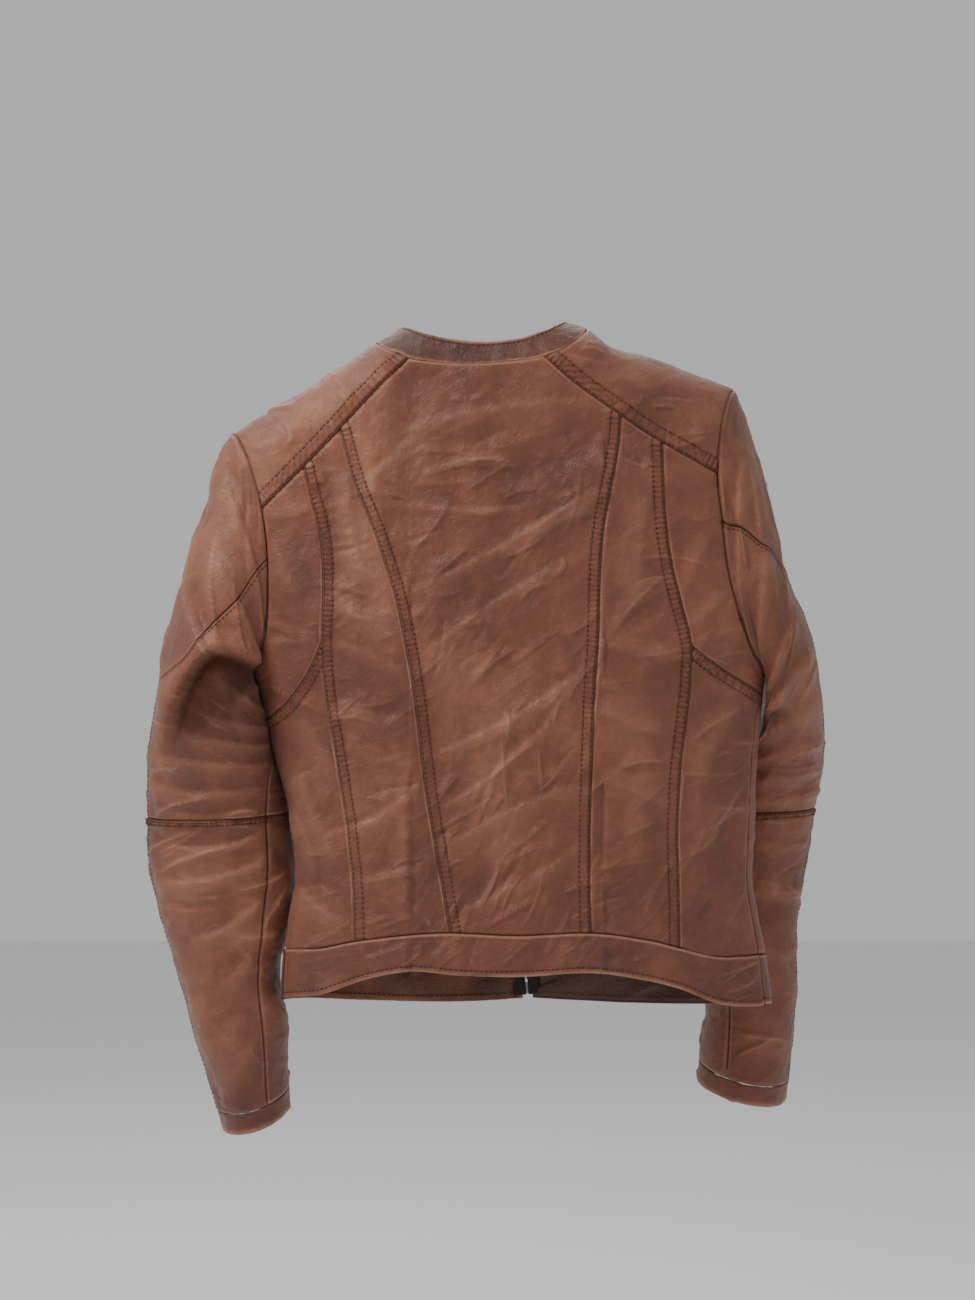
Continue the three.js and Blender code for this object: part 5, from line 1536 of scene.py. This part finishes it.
def sleeve(side):
    cut, gap = 0.004, 0.004
    upper, lower = (cut, ELBOW_ROW - gap), (ELBOW_ROW + gap, SLEEVE_ROWS - 0.3)
    back = lambda row: BACK_SEAM_TURN[side](row) + SIDE_NUDGE
    inner = lambda row: INNER_SEAM_TURN(row) - SIDE_NUDGE
    front = lambda row: BACK_SEAM_TURN[side](row) - SIDE_NUDGE
    under = lambda row: INNER_SEAM_TURN(row) - 360 + SIDE_NUDGE
    sleeve_panel(f"sleeve_back_upper_{side}", side, upper, back, inner,
                 {"top": ("plain", ()), "bottom": ("under", ()), "left": ("over", (2.4,)),
                  "right": ("plain", ())}, "upper")
    sleeve_panel(f"sleeve_front_upper_{side}", side, upper, front, under,
                 {"top": ("plain", ()), "bottom": ("under", ()), "left": ("under", ()),
                  "right": ("plain", ())}, "upper")
    sleeve_panel(f"sleeve_back_lower_{side}", side, lower, back, inner,
                 {"top": ("over", (1.8, 4.6)), "bottom": ("edge", ()),
                  "left": ("over", (2.4,)), "right": ("plain", ())}, "lower")
    sleeve_panel(f"sleeve_front_lower_{side}", side, lower, front, under,
                 {"top": ("over", (1.8, 4.6)), "bottom": ("edge", ()),
                  "left": ("under", ()), "right": ("plain", ())}, "lower")


def ring_tube(name, side, rows, inset, thickness, material, bodies, wear_low=False,
              columns=150, wrinkle=0.5):
    """A closed tube round the sleeve: a cuff hem or a lining."""
    point = sleeve_surface(side)
    row = np.asarray(rows, float)
    turn = np.linspace(0, 2 * np.pi, columns, endpoint=False)
    spots = np.stack(np.broadcast_arrays(row[:, None], turn[None]), axis=-1)
    base = point(spots)
    mid = row[len(row) // 2]
    centre = ring_centre(side, mid)
    normals = outward(base, surface_normals(spots, point, (0.01, 0.01)), centre)
    depth = inset(row)[:, None] * np.ones(base.shape[:2])
    rise = sleeve_drape(side, base, spots)[0] * wrinkle - depth
    share = (row - row[0]) / (row[-1] - row[0])
    edge = bump((1 - share) * 12, 2.0)[:, None] * np.ones(base.shape[:2])
    grid = base + normals * rise[..., None]
    flat = np.zeros(base.shape[:2])
    wear = 0.7 * edge if wear_low else flat
    attributes = {"wear": wear, "groove": flat, "tone": tone_map(base, "sleeve")}
    obj = shell_object(name, grid, material, thickness, attributes, looped=True,
                       centre=centre)
    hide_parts(name)
    sleeve_motion(obj, side, bodies)
    return obj


def cuff_and_linings(side):
    hem_rows = SLEEVE_ROWS - 0.29 + np.linspace(0, 0.29, 14)
    ring_tube(f"cuff_hem_{side}", side, hem_rows, lambda row: row * 0, LEATHER * 2,
              LEATHER_SKIN, "lower", True, wrinkle=0.75)
    rows = np.linspace(0.7, ELBOW_ROW - 0.15, 44)
    ring_tube(f"sleeve_lining_upper_{side}", side, rows,
              lambda row: 7.5 - 3.5 * smooth_step(row - 5.5), 0.8, LINING_CLOTH,
              "upper", columns=110)
    rows = np.linspace(ELBOW_ROW + 0.15, SLEEVE_ROWS - 0.42, 36)
    ring_tube(f"sleeve_lining_lower_{side}", side, rows,
              lambda row: 5.0 + 0 * row, 0.8, LINING_CLOTH, "lower",
              columns=110)


for side in SIGN:
    sleeve(side)
    cuff_and_linings(side)

# ------------------------------------------------------------------ collar

COLLAR_TOP = curve([(4, -57, -40), (20, -56, -33), (44, -50, -15), (62, -38, 9), (70, -20, 23),
                    (68, 2, 29), (61, 24, 27), (49, 39, 21), (30, 44, 16), (2, 45, 13),
                    (-30, 44, 16), (-49, 39, 23), (-62, 24, 30), (-68, 2, 34), (-70, -20, 29),
                    (-62, -38, 13), (-44, -50, -13), (-22, -56, -32), (-6, -57, -40)])


def collar_surface():
    t = np.linspace(0, 1, 241)
    neck = np.concatenate([body_point(line(t)) for line in (
        turned(part(NECK_FRONT["left"], 1, 0), "left"), turned(NECK_BACK, "back"),
        turned(NECK_FRONT["right"], "right"))])
    steps = np.linalg.norm(np.diff(neck, axis=0), axis=1)
    reach = np.concatenate([[0], np.cumsum(steps)])
    reach += np.arange(len(reach)) * 1e-6

    def at(s, t):
        low = np.stack([np.interp(s * reach[-1], reach, lane) for lane in neck.T], axis=-1)
        high = COLLAR_TOP(s)
        lift = high - low
        lift /= np.linalg.norm(lift, axis=1, keepdims=True)
        low = low + lift * 0.25
        inward = np.array([0.0, -5.0, 0.0]) - low
        inward[:, 2] = 0
        inward /= np.linalg.norm(inward, axis=1, keepdims=True)
        share = t[:, None, None]
        bow = 4 * share * (1 - share) * 1.2
        return low[None] + (high - low)[None] * share + inward[None] * bow

    return at


def collar():
    at = collar_surface()
    tall = 32.0
    s = np.linspace(0.002, 0.998, 330)
    t = spaced(tall, (True, True), fine=0.9, coarse=2.4, band=9)
    base = at(s, t)
    centre = np.array([0.0, -5.0, -10.0])
    normals = outward(base, grid_normals(base), centre)
    seams = {"top": ("under", ()), "bottom": ("edge", (3.4,)), "left": ("edge", ()),
             "right": ("edge", ())}
    relief, wear, groove, distances = seam_relief(base, seams)
    puff = noise(base / 19 + 40) * 0.7 + (ridged(base, 9) - 0.3) * 0.6
    rim = -0.8 * bump(distances["bottom"], 1.2)
    grid = base + normals * (puff + relief * 0.8 + rim)[..., None]
    # Painted shade: the collar band's tone is lowered all over.
    attributes = {"wear": wear, "groove": groove, "tone": tone_map(base, "back") - 1.15}
    obj = shell_object("collar_band", grid, LEATHER_SKIN, LEATHER, attributes,
                       centre=centre)
    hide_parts("collar_band")
    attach(obj, "jacket_body")
    up = outward(grid, grid_normals(grid), centre)
    points, ups = row_on_grid(grid, up, distances["bottom"], 3.4, 0, False)
    thread_rows.setdefault("jacket_body", []).append((points, ups))
    inner = base - normals * 2.2 + normals * (puff * 0.6)[..., None]
    # Painted shade: the collar facing is darkened all over in tone and groove.
    facing = shell_object("collar_facing", inner, LEATHER_SKIN, LEATHER,
                          {"wear": bump(distances["bottom"] - 0.5, 1.2) * 0.5,
                           "groove": groove * 0 + 0.45,
                           "tone": tone_map(base, "back") - 0.9}, centre=centre)
    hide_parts("collar_facing")
    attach(facing, "jacket_body")


collar()

# ------------------------------------------------------------------ body linings

TAPE_END = 12.0


def lining_edge(side, back):
    end = 0 if back else 1
    face = "back" if back else side
    level = float(BAND_TOP_BACK(0 if side == "left" else 1)[0, 1])
    gap = -0.02 if back else 0.02
    return body_run(part(armhole_turned(side, face), 0.5 + gap, end),
                    side_seam(side, ARMPIT[side], level))


def under_ridge(a, b, face):
    def at(t):
        x = a + (b - a) * np.atleast_1d(t)
        z = ridge(x) - 7.0
        return np.stack([angle_of(x, z, face), z], axis=-1)

    return at


def lowered(line, drop=7.0):
    def at(t):
        spots = line(t)
        spots[:, 1] -= drop
        return spots

    return at


def lining(name, lines):
    s, t = np.linspace(0, 1, 90), np.linspace(0, 1, 110)
    spots = coons(lines, s, t)
    base = body_point(spots)
    normals = outward(base, surface_normals(spots, body_point, BODY_STEP), BODY_CENTRE)
    s_edge = np.minimum(s, 1 - s)[None, :] * np.ones(base.shape[:2])
    low = (1 - t)[:, None] * np.ones(base.shape[:2])
    near_low = bump(low, 0.07) * smooth_step(s_edge * 12)
    depth = 9.5 - 6.3 * near_low
    waves = noise(base * np.array([1, 1, 0.35]) / 24 + 60) * 2.2 * (1 - near_low)
    grid = base - normals * (depth - waves)[..., None]
    flat = np.zeros(base.shape[:2])
    obj = shell_object(name, grid, LINING_CLOTH, 0.8,
                       {"wear": flat, "groove": flat, "tone": flat}, centre=BODY_CENTRE)
    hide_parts(name)
    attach(obj, "jacket_body")


def inset_line(line, other, share):
    """A line moved a small share of the way toward another one."""
    return lambda t: line(t) + (other(t) - line(t)) * share


def linings():
    left, right = lining_edge("left", True), lining_edge("right", True)
    tip = {side: float(shoulder_spot(ARMHOLE[side](0.48))[0, 0]) for side in SIGN}
    top = body_run(under_ridge(tip["left"], 91, "back"), lowered(turned(NECK_BACK, "back")),
                   under_ridge(-89, tip["right"], "back"))
    bottom = body_run(turned(BAND_TOP_BACK, "back"))
    lining("lining_back", (top, bottom, inset_line(left, right, 0.012),
                           inset_line(right, left, 0.012)))
    for side in SIGN:
        outer = lining_edge(side, False)
        neck_x = 91 if side == "left" else -89
        tip_x = float(shoulder_spot(ARMHOLE[side](0.52))[0, 0])
        top = body_run(lowered(turned(part(NECK_FRONT[side], 0.86, 0), side)),
                       under_ridge(neck_x, tip_x, side))
        high = float(top(0)[0, 1])
        low = float(BAND_TOP_FRONT[side](1)[0, 1])
        inner = body_run(zip_edge(side, TAPE_END + 2, high, low))
        bottom = body_run(turned(part(BAND_TOP_FRONT[side], 1, 0), side))
        lining(f"lining_front_{side}", (top, bottom, inner, inset_line(outer, inner, 0.02)))


linings()

# ------------------------------------------------------------------ front zip

ZIP_TURN = math.atan2(ZIP_TOP[0] - ZIP_END[0], ZIP_TOP[1] - ZIP_END[1])
ZIP_LENGTH = float(np.linalg.norm(ZIP_TOP - ZIP_END))
ZIP_Y = -FRONT_DEPTH
TOOTH_PITCH = 3.0


def zip_points(points):
    """From zip measures (across, front to back, down) to the jacket's frame."""
    points = np.asarray(points, float)
    c, s = math.cos(ZIP_TURN), math.sin(ZIP_TURN)
    x, y, down = points[..., 0], points[..., 1], points[..., 2]
    return np.stack([ZIP_TOP[0] + c * x - s * down, y, ZIP_TOP[1] - s * x - c * down],
                    axis=-1)


def bevelled_box(low, high, bevel):
    """Corners of a box with its edges cut back, and its faces."""
    low, high = np.array(low, float), np.array(high, float)
    points, index = [], {}
    for sx in (0, 1):
        for sy in (0, 1):
            for sz in (0, 1):
                corner = np.where([sx, sy, sz], high, low)
                toward = np.where([sx, sy, sz], -1, 1) * bevel
                for axis in range(3):
                    move = toward.copy()
                    move[axis] = 0
                    index[(sx, sy, sz, axis)] = len(points)
                    points.append(corner + move)
    faces = []
    for axis in range(3):
        u, v = [k for k in range(3) if k != axis]
        for end in (0, 1):
            ring = []
            for a, b in ((0, 0), (1, 0), (1, 1), (0, 1)):
                key = [0, 0, 0]
                key[axis], key[u], key[v] = end, a, b
                ring.append(index[(*key, axis)])
            faces.append(ring if (end == 1) == (axis != 1) else ring[::-1])
    for axis in range(3):
        u, v = [k for k in range(3) if k != axis]
        for a in (0, 1):
            for b in (0, 1):
                ends = []
                for end in (0, 1):
                    key = [0, 0, 0]
                    key[axis], key[u], key[v] = end, a, b
                    ends.append(key)
                quad = [index[(*ends[0], u)], index[(*ends[1], u)],
                        index[(*ends[1], v)], index[(*ends[0], v)]]
                faces.append(quad)
    for sx in (0, 1):
        for sy in (0, 1):
            for sz in (0, 1):
                faces.append([index[(sx, sy, sz, k)] for k in range(3)])
    centre = (low + high) / 2
    points = np.array(points)
    turned_faces = []
    for face in faces:
        p = points[face]
        n = np.cross(p[1] - p[0], p[2] - p[0])
        turned_faces.append(face if np.dot(n, p.mean(0) - centre) > 0 else face[::-1])
    return points, turned_faces


def many_boxes(boxes, bevel):
    vertices, faces = [], []
    for low, high in boxes:
        points, rings = bevelled_box(low, high, bevel)
        faces += [[k + len(vertices) for k in ring] for ring in rings]
        vertices += list(points)
    return np.array(vertices), faces


def zip_row(side):
    sign = SIGN[side]
    boxes = []
    count = int((ZIP_LENGTH - 14 - 6) / TOOTH_PITCH)
    shift = 0.0 if side == "left" else TOOTH_PITCH / 2
    for k in range(count):
        down = 7.0 + k * TOOTH_PITCH + shift
        if down > ZIP_LENGTH - 15:
            break
        reach = sorted([sign * -0.55, sign * 2.5])
        boxes.append(((reach[0], ZIP_Y - 0.45, down - 0.55),
                      (reach[1], ZIP_Y + LEATHER + 0.55, down + 0.55)))
    vertices, faces = many_boxes(boxes, 0.22)
    teeth = new_object(f"zip_teeth_{side}", zip_points(vertices), faces, METAL, smooth=False)
    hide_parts(f"zip_teeth_{side}")
    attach(teeth, "jacket_body")
    t = np.linspace(3, ZIP_LENGTH - 3, 240)
    across_marks = np.array([0.9, 1.8, 2.4, 3.4, 5, 7, 9, 12]) * sign
    deep = ZIP_Y + LEATHER + np.array([0.5, 0.35, 0.35, 0.6, 0.6, 0.6, 0.6, 0.6])
    grid = np.stack(np.broadcast_arrays(across_marks[None], deep[None], t[:, None]), axis=-1)
    grid = zip_points(grid)
    flat = np.zeros(grid.shape[:2])
    tape = shell_object(f"zip_tape_{side}", grid, TAPE, 0.6,
                        {"wear": flat, "groove": flat, "tone": flat}, centre=BODY_CENTRE)
    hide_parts(f"zip_tape_{side}")
    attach(tape, "jacket_body")


for side in SIGN:
    zip_row(side)

for name in ("zip_retainer_box", "zip_slider", "zip_pull_arch", "zip_pull"):
    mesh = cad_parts[name].data
    mesh.materials.clear()
    mesh.materials.append(METAL)

for name, rows in thread_rows.items():
    vertices, faces = stitches(rows)
    threads = new_object(f"stitching_{name}", vertices, faces, THREAD)
    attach(threads, name)


# ------------------------------------------------------------------ camera, light and floor

VIEW_X = -4.0
VIEW_Z = -242.0
VIEW_DISTANCE = 2600.0
FRAME_WIDTH = 819.0
SENSOR = 36.0
FLOOR_HALF = 6.0
FLOOR_LEVEL = -1.05


def stage_and_light():
    camera_data = bpy.data.cameras.new("camera")
    camera_data.sensor_fit = "HORIZONTAL"
    camera_data.sensor_width = SENSOR
    camera_data.lens = SENSOR * VIEW_DISTANCE / FRAME_WIDTH
    camera = bpy.data.objects.new("camera", camera_data)
    camera.location = (VIEW_X * MM, VIEW_DISTANCE * MM, VIEW_Z * MM)
    camera.rotation_euler = (math.pi / 2, 0, math.pi)
    bpy.context.scene.collection.objects.link(camera)
    bpy.context.scene.camera = camera

    def lamp(name, place, size, power, target=(0, 0, -0.3)):
        light = bpy.data.lights.new(name, "AREA")
        light.size = size
        light.energy = power
        obj = bpy.data.objects.new(name, light)
        obj.location = place
        obj.rotation_euler = (Vector(target) - Vector(place)).to_track_quat("-Z", "Y").to_euler()
        bpy.context.scene.collection.objects.link(obj)

    lamp("key", (1.2, 0.85, 1.3), 0.6, 36)
    lamp("fill", (-1.9, 1.9, 0.2), 1.8, 9)
    lamp("rim", (0.3, -1.8, 1.4), 1.6, 18)
    world = bpy.data.worlds.new("studio")
    world.use_nodes = True
    world.node_tree.nodes["Background"].inputs["Color"].default_value = (0.93, 0.94, 0.95, 1)
    world.node_tree.nodes["Background"].inputs["Strength"].default_value = 0.55
    bpy.context.scene.world = world

    material, _, shader = node_material("pale_floor")
    shader.inputs["Base Color"].default_value = (0.86, 0.86, 0.86, 1)
    shader.inputs["Roughness"].default_value = 0.9
    half, level = FLOOR_HALF, FLOOR_LEVEL
    mesh = bpy.data.meshes.new("floor")
    mesh.from_pydata([(-half, -half, level), (half, -half, level), (half, half, level),
                      (-half, half, level)], [], [(0, 1, 2, 3)])
    mesh.materials.append(material)
    floor = bpy.data.objects.new("floor", mesh)
    bpy.context.scene.collection.objects.link(floor)


stage_and_light()
